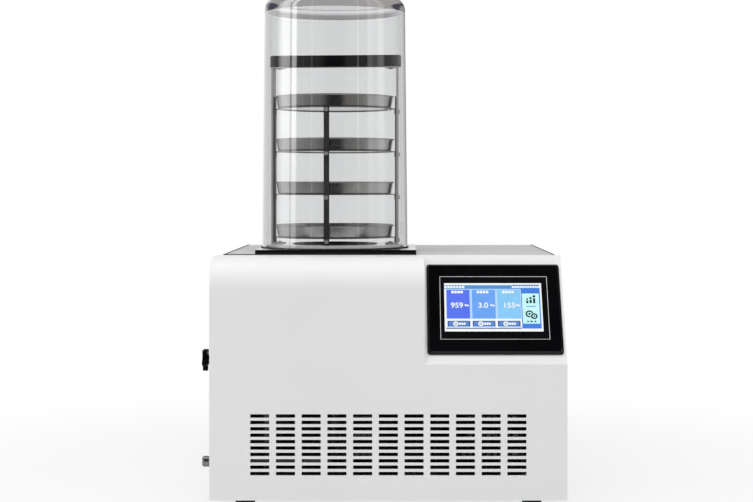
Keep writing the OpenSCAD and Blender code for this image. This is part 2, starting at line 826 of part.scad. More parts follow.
module guide_tube() color("gray") on_bench() on_seat() {
    wall = 1.2;
    flange = mouth_r + 4;
    difference() {
        union() {
            translate([0, 0, base_h]) disc(flange, wall);
            translate([0, 0, base_h - guide_h]) disc(guide_r, guide_h + wall);
        }
        translate([0, 0, base_h - guide_h - eps]) disc(guide_r - wall, guide_h + 3 * wall);
    }
}

// ---- Stand and trays ----

module stand_base() color("silver") on_bench() on_seat() {
    difference() {
        disc(base_r, base_h);
        translate([0, 0, -eps]) disc(base_r - disc_t, base_h - disc_t + eps);
        translate([0, 0, -eps]) disc(mouth_r, base_h + 1);
        // holes for the screws that hold the uprights
        rotate(stand_turn) for (s = [-1, 1])
            translate([s * (rail_r - 8), 0, 0]) disc(pin_r + 0.1, base_h + 1);
    }
}

function level_z(i) = tray_first + (levels - i) * tray_pitch; // underside of tray i, 1 at the top

rail_top = level_z(1) + tray_h;
pin_drop = ring_t + ring_lug / 2;

// Holes for the screws of one rail, upright or post, along +X.
module pin_holes(r) {
    for (i = [1 : levels]) translate([rail_r, 0, level_z(i) - pin_drop])
        rotate([0, 90, 0]) cylinder(r = r, h = 40, center = true);
}

// An upright is a flat strip with a foot turned in over the base disc and a tab under the handle.
module upright() {
    foot = 16;
    difference() {
        union() {
            translate([upright_r, -upright_w / 2, base_h])
                cube([upright_t, upright_w, handle_z - base_h]);
            translate([rail_r - foot, -upright_w / 2, base_h])
                cube([upright_r + upright_t - rail_r + foot, upright_w, 2]);
            translate([rail_r - foot, -upright_w / 2, handle_z - 2])
                cube([upright_r + upright_t - rail_r + foot, upright_w, 2]);
        }
        pin_holes(pin_r + 0.1);
        translate([rail_r - 8, 0, 0]) disc(pin_r + 0.1, handle_z + 1);
    }
}

module stand_upright_left() color("gray") on_bench() on_stand() rotate(180) upright();

module stand_upright_right() color("gray") on_bench() on_stand() upright();

module rail(w) {
    z0 = base_h + 2;
    difference() {
        translate([rail_r, -w / 2, z0]) cube([rail_t, w, rail_top - z0]);
        pin_holes(pin_r + 0.1);
    }
}

module stand_rail_left() color("dimgray") on_bench() on_stand() rotate(180) rail(rail_w);

module stand_rail_right() color("dimgray") on_bench() on_stand() rail(rail_w);

module stand_post_front() color("dimgray") on_bench() on_stand() rotate(-90) {
    difference() {
        union() {
            translate([rail_r, -post_w / 2, base_h]) cube([rail_t, post_w, level_z(1) - base_h]);
            translate([rail_r - 10, -post_w / 2, base_h]) cube([10 + rail_t, post_w, 2]);
        }
        pin_holes(pin_r + 0.1);
    }
}

module stand_handle() color("black") on_bench() on_stand() {
    edge = 3;
    r = handle_w / 2;
    difference() {
        translate([0, 0, handle_z]) {
            for (s = [-1, 1]) translate([s * (handle_len / 2 - r), 0, 0]) rotate_extrude() {
                square([r, handle_h - edge]);
                square([r - edge, handle_h]);
                translate([r - edge, handle_h - edge]) circle(edge);
            }
            along_x(-handle_len / 2 + r, handle_len - 2 * r) {
                translate([-r, 0]) square([2 * r, handle_h - edge]);
                translate([edge - r, 0]) square([2 * r - 2 * edge, handle_h]);
                for (s = [-1, 1]) translate([s * (r - edge), handle_h - edge]) circle(edge);
            }
        }
        for (s = [-1, 1]) translate([s * (rail_r - 8), 0, handle_z - 1]) disc(pin_r, 11);
    }
}

// Small screws: one through each post at each level, and one through each turned tab.
module stand_screws() color("darkgray") on_bench() on_stand() {
    for (a = [0, 180]) rotate(a) {
        for (i = [1 : levels]) translate([rail_r - lug_t, 0, level_z(i) - pin_drop])
            rotate([0, 90, 0]) {
                cylinder(r = pin_r, h = lug_t + rail_t + upright_t + 0.5);
                translate([0, 0, lug_t + rail_t + upright_t]) cylinder(r = pin_r + 1.5, h = 2.2);
            }
        translate([rail_r - 8, 0, handle_z - 2]) {
            disc(pin_r, 10);
            translate([0, 0, -2]) disc(pin_r + 1.5, 2);
        }
        translate([rail_r - 8, 0, base_h - disc_t]) {
            disc(pin_r, disc_t + 2.5);
            translate([0, 0, disc_t + 2]) disc(pin_r + 1.5, 2);
        }
    }
    rotate(-90) for (i = [1 : levels]) translate([rail_r - lug_t, 0, level_z(i) - pin_drop])
        rotate([0, 90, 0]) {
            cylinder(r = pin_r, h = lug_t + rail_t + 0.5);
            translate([0, 0, lug_t + rail_t]) cylinder(r = pin_r + 1.5, h = 2.2);
        }
}

// A flat ring under a tray, with three tabs turned down against the rails and the post.
module support_ring(i) {
    outer = tray_foot_r + 1.5;
    on_bench() on_stand() translate([0, 0, level_z(i) - ring_t]) difference() {
        union() {
            ring(outer, outer - ring_w, ring_t);
            for (a = [0, 180, -90]) rotate(a) {
                translate([outer - ring_w / 2, -4, 0]) cube([rail_r - outer + ring_w / 2, 8, ring_t]);
                translate([rail_r - lug_t, -4, -ring_lug]) cube([lug_t, 8, ring_lug + ring_t / 2]);
            }
        }
        for (a = [0, 180, -90]) rotate(a) translate([rail_r, 0, -ring_lug / 2])
            rotate([0, 90, 0]) cylinder(r = pin_r + 0.1, h = 10, center = true);
    }
}

module support_ring_1() color("dimgray") support_ring(1);
module support_ring_2() color("dimgray") support_ring(2);
module support_ring_3() color("dimgray") support_ring(3);
module support_ring_4() color("dimgray") support_ring(4);

// A drawn tray: flat floor, wall that opens a little upwards, and a rolled lip.
module tray(i) {
    bead = tray_lip / 2;
    on_bench() on_seat() translate([0, 0, level_z(i)]) rotate_extrude($fn = 128) {
        polygon([
            [0, 0],
            [tray_foot_r - 2, 0],
            [tray_foot_r, 2],
            [tray_r, tray_h - bead],
            [tray_r - tray_t, tray_h - bead],
            [tray_foot_r - tray_t, 2.4],
            [tray_foot_r - 2.4, tray_t],
            [0, tray_t],
        ]);
        translate([tray_r + tray_lip - bead - 0.6, tray_h - bead]) circle(bead);
        translate([tray_r - tray_t, tray_h - bead]) square([tray_lip - bead, bead]);
    }
}

module tray_1() color("silver") tray(1);
module tray_2() color("silver") tray(2);
module tray_3() color("silver") tray(3);
module tray_4() color("silver") tray(4);

// ---- Valve and drain ----

module out_left(z) {
    on_bench() translate([side_x, side_y, z]) rotate([0, -90, 0]) children();
}

// Valve body: block inside the case, threaded neck through the cover, nut outside, bore for the stem.
module valve_body() color("gray") out_left(valve_h) {
    difference() {
        union() {
            translate([0, 0, -sheet - 10]) cylinder(r = 14, h = 10, $fn = 6);
            translate([0, 0, -sheet - 30]) disc(11, 21);
            translate([0, 0, -sheet - eps]) disc(9, 8);
            cylinder(r = 12.5, h = 5, $fn = 6);
        }
        translate([0, 0, -sheet - 22]) disc(stem_r + run_gap, 40);
    }
    // nipple for the vent hose, pointing down
    translate([-9, 0, side_x - vent_line_x]) rotate([0, -90, 0])
        cylinder(r = hose_r - 1, h = nipple_drop - 9);
}

module valve_knob() color("black") on_bench() {
    translate([knob_x, side_y, valve_h]) rotate([0, 90, 0]) {
        difference() {
            union() {
                linear_extrude(knob_t) {
                    circle(knob_r - 6);
                    for (i = [0 : knob_lobes - 1]) rotate(360 * i / knob_lobes)
                        translate([knob_r - 5, 0]) circle(5);
                }
                disc(8, knob_t + 6);
            }
            translate([0, 0, -eps]) disc(knob_r - 12, 1.2);
        }
        // stem, fixed in the knob
        disc(stem_r, knob_reach + 16);
    }
}

module valve_hose() color("darkgray") on_bench() {
    pipe([
        [vent_line_x, side_y, valve_h - nipple_drop],
        [vent_line_x, side_y, vac_z],
        [vent_line_x, comp_y + 50, vac_z],
        [vac_x - vac_out_r - 4, comp_y + 50, vac_z],
    ], 14, hose_r);
}

module drain_fitting() color("silver") out_left(drain_h) {
    difference() {
        union() {
            translate([0, 0, -sheet - 14]) disc(drain_bore_r + 1.2, 15);
            translate([0, 0, -sheet - 4]) cylinder(r = 11, h = 4, $fn = 6);
            translate([0, 0, -sheet - eps]) disc(6.5, drain_reach - 10);
            cylinder(r = 11, h = 4, $fn = 6);
            translate([0, 0, drain_reach - 12]) rotate_extrude() polygon([
                [0, 0], [drain_r - 0.8, 0], [drain_r, 0.8], [drain_r, 10], [drain_r - 2, 12], [0, 12],
            ]);
        }
        translate([0, 0, -sheet - 15]) disc(drain_bore_r, drain_reach + 40);
    }
}

module drain_hose() color("lightgray") on_bench() {
    bore = drain_bore_r + 1.2 + run_gap;
    inner_end = side_x + sheet + 5;
    path = [
        [trap_x, trap_y, foam_z - 8],
        [trap_x, trap_y, drain_h],
        [trap_x, side_y, drain_h],
        [inner_end, side_y, drain_h],
    ];
    difference() {
        pipe(path, 16, hose_r + 1);
        run([inner_end - 1, side_y, drain_h], [inner_end + 12, side_y, drain_h], bore);
    }
}

// ---- Vacuum line ----

module vacuum_port() color("silver") on_bench() {
    translate([vac_x, rear_y, vac_z]) rotate([-90, 0, 0]) difference() {
        union() {
            translate([0, 0, -sheet - 30]) disc(vac_out_r, vac_reach + sheet + 30);
            translate([0, 0, -sheet - 4]) cylinder(r = 22, h = 4, $fn = 6);
            disc(22, 3);
            translate([0, 0, vac_reach - 7]) rotate_extrude() polygon([
                [0, 0], [vac_out_r, 0], [vac_flange_r, 4], [vac_flange_r, 7], [0, 7],
            ]);
        }
        translate([0, 0, -sheet - 31]) disc(vac_bore_r, vac_reach + sheet + 40);
    }
}

module vacuum_pipe() color("silver") on_bench() {
    bend = 24;
    y1 = rear_in - 30;
    top = foam_z - 8;
    gauge_y = y1 - 40;
    path = [[vac_x, trap_y, top], [vac_x, trap_y, vac_z], [vac_x, y1, vac_z]];
    bore = [[vac_x, trap_y, top + 1], [vac_x, trap_y, vac_z], [vac_x, y1 + 1, vac_z]];
    difference() {
        union() {
            pipe(path, bend, vac_out_r);
            run([vac_x, gauge_y, vac_z], [vac_x, gauge_y, vac_z + vac_out_r + 8], 9);
            run([vac_x, comp_y + 50, vac_z], [vac_x - vac_out_r - 4, comp_y + 50, vac_z], hose_r - 1);
        }
        pipe(bore, bend, vac_bore_r + pipe_step);
    }
}

module vacuum_gauge() color("gray") on_bench() {
    translate([vac_x, rear_in - 70, vac_z + vac_out_r + 8]) {
        disc(11, 8);
        translate([0, 0, 8]) disc(16, 52);
        translate([0, 0, 60]) disc(7, 10);
    }
}

// ---- Cooling ----

comp_stub_y = comp_y - comp_r - 12;   // ends of the compressor's stubs
suction_z = comp_z + 70;
bracket_t = 3;
grommet_off = comp_r * 0.86;

module compressor() color("black") on_bench() translate([comp_x, comp_y, comp_z]) {
    round_r = comp_r * 0.45;
    rotate_extrude() {
        translate([0, round_r]) square([comp_r, comp_h - 2 * round_r]);
        square([comp_r - round_r, comp_h]);
        for (z = [round_r, comp_h - round_r]) translate([comp_r - round_r, z]) circle(round_r);
        // weld seam
        translate([0, comp_h * 0.62]) square([comp_r + 3, 4]);
    }
    // mounting bracket with keyholes for the grommets
    difference() {
        translate([0, 0, -bracket_t / 2 - 2])
            rounded_block(2 * grommet_off + 26, 2 * grommet_off + 26, bracket_t, 14);
        for (x = [-1, 1], y = [-1, 1]) translate([x * grommet_off, y * grommet_off, -10])
            disc(9, 20);
    }
    translate([0, 0, -bracket_t / 2 - 1]) disc(comp_r - round_r, bracket_t);
    // stubs for the pipes, and the terminal cover
    run([0, -comp_r / 2, cond_top - comp_z], [0, comp_stub_y - comp_y, cond_top - comp_z], pipe_r + 1);
    run([suction_x - comp_x, -comp_r / 2, suction_z - comp_z],
        [suction_x - comp_x, comp_stub_y - comp_y, suction_z - comp_z], pipe_r + 1.5);
    translate([0, comp_r + 2, comp_h * 0.35]) rotate([90, 0, 0])
        rounded_block(60, 50, comp_r / 2, 5);
}

module compressor_grommets() color("dimgray") on_bench() {
    neck_z = grommet_h - bracket_t / 2 - 2;
    for (x = [-1, 1], y = [-1, 1])
        translate([comp_x + x * grommet_off, comp_y + y * grommet_off, floor_z])
            rotate_extrude() polygon([
                [4, 0],
                [13, 0],
                [13, neck_z],
                [8.7, neck_z],
                [8.7, neck_z + bracket_t],
                [11, neck_z + bracket_t],
                [11, neck_z + bracket_t + 4],
                [4, neck_z + bracket_t + 4],
            ]);
}

module cond_tube_places() {
    for (y = [row_front, row_back], j = [0 : cond_levels - 1])
        translate([y, cond_low + j * cond_step]) children();
}

module condenser_fins() color("silver") on_bench() {
    hole = cond_tube_r + run_gap;
    lift = 6; // fins stand clear of the base, the end plates reach it
    count = floor((cond_w - 2 * fin_pitch) / fin_pitch);
    start = cond_x - (count - 1) / 2 * fin_pitch;
    for (i = [0 : count - 1]) along_x(start + i * fin_pitch - fin_t / 2, fin_t) difference() {
        translate([cond_y, floor_z + lift]) square([cond_d, cond_h - lift]);
        cond_tube_places() circle(hole);
    }
    for (x = [cond_x0, cond_x1 - 1.5]) along_x(x, 1.5) difference() {
        translate([cond_y - 2, floor_z]) square([cond_d + 6, cond_h + 2]);
        cond_tube_places() circle(hole);
    }
}

// Half a ring that joins two tubes at one end of the condenser; s is the end, 1 or -1.
module return_bend(x, z, r, s) {
    for (y = [row_front, row_back]) translate([x, y, z]) rotate([90, 0, 0])
        rotate(s > 0 ? -90 : 90) rotate_extrude(angle = 180) translate([r, 0]) circle(cond_tube_r);
}

module condenser_tubes() color("peru") on_bench() {
    out = 3;
    for (y = [row_front, row_back], j = [0 : cond_levels - 1])
        run([cond_x0 - out, y, cond_low + j * cond_step],
            [cond_x1 + out, y, cond_low + j * cond_step], cond_tube_r);
    for (j = [0 : cond_levels - 2])
        return_bend(j % 2 == 0 ? cond_x0 - out : cond_x1 + out,
            cond_low + (j + 0.5) * cond_step, cond_step / 2, j % 2 == 0 ? -1 : 1);
    // bend that joins the two rows at the bottom
    translate([cond_x1 + out, (row_front + row_back) / 2, cond_low]) rotate(-90)
        rotate_extrude(angle = 180) translate([(row_back - row_front) / 2, 0]) circle(cond_tube_r);
    // stubs for the pipes
    for (y = [row_front, row_back]) run([cond_x1, y, cond_top], [stub_x, y, cond_top], cond_tube_r);
}

shroud_t = 1.5;
shroud_d = 22;          // depth of the ring round the blades
motor_y = fan_y + shroud_d + 12;

module fan_shroud() color("silver") on_bench() {
    ring_in = fan_r + 4;
    difference() {
        union() {
            along_y(fan_y, shroud_t) translate([cond_x, floor_z + (cond_h + 2) / 2])
                square([cond_w, cond_h + 2], center = true);
            along_y(fan_y, shroud_d) translate([fan_x, fan_z]) circle(ring_in + 1.5);
        }
        along_y(fan_y - eps, shroud_d + 2 * eps) translate([fan_x, fan_z]) circle(ring_in);
    }
    // three arms that carry the motor
    difference() {
        for (a = [90, 210, 330]) translate([fan_x, 0, fan_z]) rotate([0, a, 0]) {
            translate([20, motor_y - 3, -6]) cube([ring_in - 18, 3, 12]);
            translate([ring_in, fan_y + shroud_d - 4, -6]) cube([2, motor_y - fan_y - shroud_d + 4, 12]);
        }
        along_y(motor_y - 4, 5) translate([fan_x, fan_z]) circle(18);
    }
    along_y(motor_y - 3, 3) translate([fan_x, fan_z]) difference() {
        circle(28);
        circle(18);
    }
}

module fan_motor() color("gray") on_bench() translate([fan_x, motor_y, fan_z]) rotate([-90, 0, 0]) {
    rotate_extrude() {
        square([32, 40]);
        square([35, 34]);
        square([22, 46]);
    }
    // boss and fixed shaft that the rotor turns on
    translate([0, 0, -6]) disc(14, 7);
    translate([0, 0, fan_y - motor_y + 2]) disc(fan_shaft_r, motor_y - fan_y);
}

module fan_rotor() color("dimgray") on_bench() translate([fan_x, fan_y + 4, fan_z]) rotate([-90, 0, 0]) {
    hub_h = motor_y - fan_y - 4 - 6 - 0.5;
    blade_d = shroud_d - 6;
    difference() {
        union() {
            disc(fan_hub_r, hub_h);
            intersection() {
                ring(fan_r, fan_hub_r - 2, blade_d);
                for (i = [0 : fan_blades - 1]) rotate(360 * i / fan_blades)
                    translate([fan_hub_r - 2, 0, blade_d / 2]) rotate([fan_pitch, 0, 0])
                        translate([0, -22, -0.9]) cube([fan_r, 44, 1.8]);
            }
        }
        translate([0, 0, -eps]) disc(fan_shaft_r + run_gap, hub_h + 1);
        // hollow front of the hub
        translate([0, 0, -eps]) ring(fan_hub_r - 3, fan_shaft_r + 4, hub_h * 0.5);
    }
}

module filter_drier() color("goldenrod") on_bench() {
    translate([pipe_x, drier_y0, cond_low]) rotate([-90, 0, 0]) rotate_extrude() polygon([
        [0, 0],
        [liquid_r + 1, 0],
        [liquid_r + 1, 6],
        [drier_r, 16],
        [drier_r, drier_y1 - drier_y0 - 16],
        [liquid_r + 1, drier_y1 - drier_y0 - 6],
        [liquid_r + 1, drier_y1 - drier_y0],
        [0, drier_y1 - drier_y0],
    ]);
}

module suction_pipe() color("peru") on_bench() {
    pipe([
        [lead_x, trap_y - coil_r, coil_z1],
        [suction_x, trap_y - coil_r, coil_z1],
        [suction_x, trap_y - coil_r, suction_z],
        [suction_x, comp_stub_y, suction_z],
    ], 12, pipe_r);
}

module discharge_pipe() color("peru") on_bench() {
    turn_y = comp_stub_y - 70;
    pipe([
        [comp_x, comp_stub_y, cond_top],
        [comp_x, turn_y, cond_top],
        [pipe_x, turn_y, cond_top],
        [pipe_x, row_back, cond_top],
        [stub_x, row_back, cond_top],
    ], 10, pipe_r);
}

module liquid_pipe() color("peru") on_bench() {
    pipe([
        [stub_x, row_front, cond_top],
        [pipe_x, row_front, cond_top],
        [pipe_x, row_front, cond_low],
        [pipe_x, drier_y0, cond_low],
    ], 10, liquid_r);
}

module expansion_pipe() color("peru") on_bench() {
    pipe([
        [lead_x, trap_y + coil_r, coil_z0],
        [pipe_x, trap_y + coil_r, coil_z0],
        [pipe_x, trap_y + coil_r, cond_low],
        [pipe_x, drier_y1, cond_low],
    ], 10, liquid_r);
}

// ---- Electrics ----

inlet_body_w = inlet_w + 3;
inlet_body_h = inlet_h + 3;
inlet_x = body_w / 2 - 60;
switch_x = inlet_x - 60;
outlet_x = switch_x - 60;
switch_w = 19;
switch_h = 27;
rocker_w = 13;
rocker_h = 21;

// Outline of the socket: a rectangle with two corners cut off.
module plug_outline(w, h, cut) {
    polygon([
        [-w / 2, -h / 2], [w / 2, -h / 2], [w / 2, h / 2 - cut],
        [w / 2 - cut, h / 2], [-w / 2 + cut, h / 2], [-w / 2, h / 2 - cut],
    ]);
}

module socket_shell(x) {
    depth = 24;
    on_bench() translate([x, rear_y, socket_z]) rotate([90, 0, 180]) difference() {
        union() {
            rounded_block(50, 26, 2.5, 4);
            translate([0, 0, -depth]) rounded_block(inlet_body_w, inlet_body_h, depth + 1, 1.5);
        }
        translate([0, 0, -17]) linear_extrude(30) plug_outline(inlet_w - 3.5, inlet_h - 3.5, 4.5);
    }
}

module blades(x, len, z0) {
    on_bench() translate([x, rear_y, socket_z]) rotate([90, 0, 180])
        for (p = [[-7, -2], [7, -2], [0, 2]])
            translate([p[0] - 1, p[1] - 2, z0]) cube([2, 4, len]);
}

module power_inlet() color("black") {
    socket_shell(inlet_x);
    blades(inlet_x, 12, -17 - eps);
}

module pump_socket() color("black") on_bench() {
    translate([outlet_x, rear_y, socket_z]) rotate([90, 0, 180]) difference() {
        union() {
            rounded_block(50, 26, 2.5, 4);
            translate([0, 0, -24]) rounded_block(inlet_body_w, inlet_body_h, 25, 1.5);
        }
        for (p = [[-7, -2], [7, -2], [0, 3]])
            translate([p[0] - 1.5, p[1] - 3, -15]) cube([3, 6, 30]);
    }
}

module switch_frame() color("black") on_bench() {
    translate([switch_x, rear_y, socket_z]) rotate([90, 0, 180]) difference() {
        union() {
            rounded_block(switch_w + 4, switch_h + 4, 2, 1.5);
            translate([0, 0, -18]) linear_extrude(19) square([switch_w, switch_h], center = true);
        }
        translate([0, 0, -14]) linear_extrude(30)
            square([rocker_w + 0.6, rocker_h + 2], center = true);
        translate([0, 0, -4]) rotate([0, 90, 0])
            cylinder(r = 1.5 + run_gap, h = rocker_w + 4, center = true);
    }
}

module switch_rocker() color("crimson") on_bench() {
    translate([switch_x, rear_y, socket_z]) rotate([90, 0, 180]) translate([0, 0, -4])
        rotate([rocker_tip, 0, 0]) {
            along_x(-rocker_w / 2, rocker_w) polygon([
                [-rocker_h / 2, 2], [-3, -5], [3, -5], [rocker_h / 2, 2],
                [rocker_h / 2 - 0.5, 6], [0, 4.6], [-rocker_h / 2 + 0.5, 6],
            ]);
            rotate([0, 90, 0]) cylinder(r = 1.5, h = rocker_w + 3, center = true);
        }
}

module control_box() color("lightgray") on_bench() {
    w = 140;
    h = 110;
    d = 70;
    translate([comp_x - w / 2, rear_in - d, comp_z + comp_h + 30]) difference() {
        union() {
            cube([w, d, h]);
            // ears screwed to the rear panel
            translate([-12, d - 2, 20]) cube([w + 24, 2, h - 40]);
        }
        for (i = [0 : 7]) translate([15 + 15 * i, -eps, h / 2 - 25]) cube([5, 2, 50]);
    }
}

front_panel();
top_cover();
cover_sides();
rear_panel();
base_pan();
feet();
panel_screws();
hmi_bezel();
hmi_screen();
hmi_housing();
seat_plate();
bell_gasket();
chamber_tube();
chamber_lid();
trap_well();
evaporator_coil();
trap_insulation();
trap_cradle();
guide_tube();
stand_base();
stand_upright_left();
stand_upright_right();
stand_rail_left();
stand_rail_right();
stand_post_front();
stand_handle();
stand_screws();
support_ring_1();
support_ring_2();
support_ring_3();
support_ring_4();
tray_1();
tray_2();
tray_3();
tray_4();
valve_body();
valve_knob();
valve_hose();
drain_fitting();
drain_hose();
vacuum_port();
vacuum_pipe();
vacuum_gauge();
compressor();
compressor_grommets();
condenser_fins();
condenser_tubes();
fan_shroud();
fan_motor();
fan_rotor();
filter_drier();
suction_pipe();
discharge_pipe();
liquid_pipe();
expansion_pipe();
power_inlet();
switch_frame();
switch_rocker();
pump_socket();
control_box();
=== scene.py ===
import math

import bpy
from mathutils import Matrix, Vector


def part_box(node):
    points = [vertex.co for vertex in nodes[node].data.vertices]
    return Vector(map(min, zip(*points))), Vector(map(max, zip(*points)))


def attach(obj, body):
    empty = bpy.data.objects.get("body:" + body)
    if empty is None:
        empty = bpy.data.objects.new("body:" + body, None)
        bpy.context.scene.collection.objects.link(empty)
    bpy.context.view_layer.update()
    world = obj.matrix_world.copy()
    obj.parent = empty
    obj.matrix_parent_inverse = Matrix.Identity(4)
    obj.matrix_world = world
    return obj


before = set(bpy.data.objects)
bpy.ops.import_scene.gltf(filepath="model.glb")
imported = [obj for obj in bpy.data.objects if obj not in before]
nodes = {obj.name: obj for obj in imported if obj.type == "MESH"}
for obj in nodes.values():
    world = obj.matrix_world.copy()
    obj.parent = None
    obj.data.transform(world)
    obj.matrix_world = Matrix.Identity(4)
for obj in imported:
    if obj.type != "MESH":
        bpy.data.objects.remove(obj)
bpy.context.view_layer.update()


# ---- Camera ----
# A long lens, level and square to the front, at the height of the seat plate. It stands 2.5 m
# from the front face.

scene = bpy.context.scene
camera_data = bpy.data.cameras.new("camera")
camera_data.sensor_width = 36
camera_data.lens = 76.8
camera_data.shift_x = -0.0272
camera_data.shift_y = -0.0863
camera = bpy.data.objects.new("camera", camera_data)
scene.collection.objects.link(camera)
camera.location = (0.02785, -2.808, 0.5116)
camera.rotation_euler = (math.radians(90), 0, 0)
bpy.context.scene.camera = camera


# ---- Studio ----
# A pale floor that fades into a white background, an even sky, one large soft lamp over the
# front, and a room of dark and light panels that only polished and clear things show.

scene.view_settings.view_transform = "Standard"


def add_node(tree, kind, inputs=None, **settings):
    """One shader node with its settings, and its inputs by name or number: a value or a socket."""
    node = tree.nodes.new(kind)
    for key, value in settings.items():
        setattr(node, key, value)
    for key, value in (inputs or {}).items():
        if isinstance(value, bpy.types.NodeSocket):
            tree.links.new(value, node.inputs[key])
        else:
            node.inputs[key].default_value = value
    return node


def add_ramp(tree, factor, stops):
    """A linear colour ramp over factor. Stops are (place, grey) or (place, (r, g, b))."""
    ramp = add_node(tree, "ShaderNodeValToRGB", {"Fac": factor})
    elements = ramp.color_ramp.elements
    while len(elements) < len(stops):
        elements.new(1.0)
    for element, (place, tone) in zip(elements, stops):
        element.position = place
        rgb = tone if isinstance(tone, tuple) else (tone, tone, tone)
        element.color = (*rgb, 1)
    return ramp.outputs["Color"]


def math_node(tree, operation, a, b=0.0, c=0.0):
    """The result of one math node. c is what MULTIPLY_ADD adds."""
    return add_node(tree, "ShaderNodeMath", {0: a, 1: b, 2: c}, operation=operation).outputs[0]


def map_range(tree, value, low, high, new_low, new_high, **settings):
    """Takes value from the range low to high to the range new_low to new_high."""
    return add_node(tree, "ShaderNodeMapRange", {
        "Value": value, 1: low, 2: high, 3: new_low, 4: new_high}, **settings).outputs["Result"]


def mix_colours(tree, factor, first, second):
    """The first colour where factor is 0, the second where it is 1."""
    return add_node(tree, "ShaderNodeMix", {
        "Factor": factor, 6: first, 7: second}, data_type="RGBA").outputs[2]


world = bpy.data.worlds.new("studio")
scene.world = world
world.use_nodes = True
world.cycles.sampling_method = "NONE"
tree = world.node_tree
tree.nodes.clear()
direction = add_node(tree, "ShaderNodeTexCoord").outputs["Generated"]
parts = add_node(tree, "ShaderNodeSeparateXYZ", {0: direction})
rise = parts.outputs["Z"]
toward = math_node(tree, "MULTIPLY", parts.outputs["Y"], -1.0)
angle = math_node(tree, "ARCTAN2", parts.outputs["X"], toward)
turn = math_node(tree, "MULTIPLY_ADD", angle, 0.5 / math.pi, 0.5)


def room_ramp(stops):
    """Tones round the room, as (degrees, tone): 0 is towards the camera, 90 to the right."""
    return add_ramp(tree, turn, [(0.5 + degrees / 360, tone) for degrees, tone in stops])


# what rays that have bounced inside the acrylic find beyond it, and what polished faces mirror
beyond = room_ramp([
    (-180, 1.0), (-164, 1.0), (-156, 0.5), (-134, 0.52), (-120, 0.74), (-104, 0.66), (-60, 0.34),
    (-35, 0.26), (-20, 0.2), (-11, 0.025), (14, 0.02), (20, (0.21, 0.205, 0.195)),
    (60, (0.34, 0.335, 0.32)), (75, 0.6), (92, 0.7), (120, 0.74), (134, 0.6), (156, 0.57),
    (164, 1.0), (180, 1.0),
])
mirrored = room_ramp([
    (-180, 1.0), (-160, 1.0), (-142, 0.6), (-130, 0.1), (-104, 0.1), (-60, 0.3), (-35, 0.24),
    (-20, 0.2), (-11, 0.025), (14, 0.02), (20, (0.21, 0.205, 0.195)), (70, (0.26, 0.255, 0.25)),
    (96, 0.1), (136, 0.1), (144, 0.3), (149, 0.08), (172, 0.08), (176, 1.0), (180, 1.0),
])
# tall strip lamps, weaker near the floor, which only the outside of things mirrors
strips = room_ramp([
    (-104, 0.0), (-94, 0.55), (-92, 0.8), (-91.6, 0.55), (-90.4, 0.55), (-90, 0.8), (-75.2, 0.8),
    (-74.8, 0.15), (-71.4, 0.15), (-71, 1.0), (-63.5, 1.0), (-61, 0.0), (-50, 0.0),
    (-49.5, 0.14), (-49, 0.0), (-36, 0.0), (-35, 0.3), (-34, 0.0), (38.8, 0.0), (39.2, 0.36),
    (40.4, 0.36), (40.8, 0.0), (55, 0.0), (57, 0.22), (64, 0.22), (67, 0.1), (74, 0.13),
    (77, 0.28), (85, 0.28), (91, 0.0),
])
strip_strength = 7.5
strip_foot = map_range(tree, rise, 0.01, 0.06, 0.5, 1.0)
# over the wall, a ceiling that is darkest towards the camera
ceiling = room_ramp([
    (-140, (0.4, 0.385, 0.375)), (-120, (0.34, 0.33, 0.37)), (-70, (0.30, 0.29, 0.33)),
    (-50, 0.03), (50, 0.03), (70, (0.30, 0.29, 0.33)), (120, (0.34, 0.33, 0.37)),
    (140, (0.4, 0.385, 0.375)),
])
over_wall = add_ramp(tree, rise, [(0.3, 0.0), (0.5, 1.0)])
# a dark violet beam high up at the back, which shows at the two shoulders of the lid
beam_violet = (0.07, 0.062, 0.095, 1)
beam_width = room_ramp([(-165, 1.0), (-162, 0.0), (162, 0.0), (165, 1.0)])
beam_height = add_ramp(tree, rise, [(0.46, 0.0), (0.48, 1.0), (0.615, 1.0), (0.63, 0.0)])
beam = math_node(tree, "MULTIPLY", beam_width, beam_height)
front_half = room_ramp([(-100, 0.0), (-90, 1.0), (90, 1.0), (100, 0.0)])

# Outside rays have never entered the acrylic. Bounced rays were mirrored at least once, inside
# it or out. Straight rays only went through it: they find white, at the front at any height.
plain_white = (1, 1, 1, 1)
path = add_node(tree, "ShaderNodeLightPath")
outside = math_node(tree, "LESS_THAN", path.outputs["Transmission Depth"], 0.5)
bounced = math_node(tree, "GREATER_THAN", path.outputs["Glossy Depth"], 0.5)
straight = math_node(tree, "LESS_THAN", path.outputs["Glossy Depth"], 0.5)
inside = mix_colours(tree, bounced, plain_white, beyond)
panels = mix_colours(tree, outside, inside, mirrored)
wall = mix_colours(tree, over_wall, panels, ceiling)
room = mix_colours(tree, math_node(tree, "MULTIPLY", bounced, beam), wall, beam_violet)
room = mix_colours(tree, math_node(tree, "MULTIPLY", straight, front_half), room, plain_white)
room_light = add_node(tree, "ShaderNodeBackground", {"Color": room, "Strength": 1.0})
strip_share = math_node(tree, "MULTIPLY", outside, strip_foot)
strip_light = add_node(tree, "ShaderNodeBackground", {
    "Color": strips, "Strength": math_node(tree, "MULTIPLY", strip_share, strip_strength)})
seen_in_gloss = add_node(tree, "ShaderNodeAddShader", {
    0: room_light.outputs[0], 1: strip_light.outputs[0]})
even_sky = add_node(tree, "ShaderNodeBackground", {"Color": plain_white, "Strength": 0.62})
white = add_node(tree, "ShaderNodeBackground", {"Color": plain_white, "Strength": 1.0})
lit = add_node(tree, "ShaderNodeMixShader", {
    0: path.outputs["Is Glossy Ray"], 1: even_sky.outputs[0], 2: seen_in_gloss.outputs[0]})
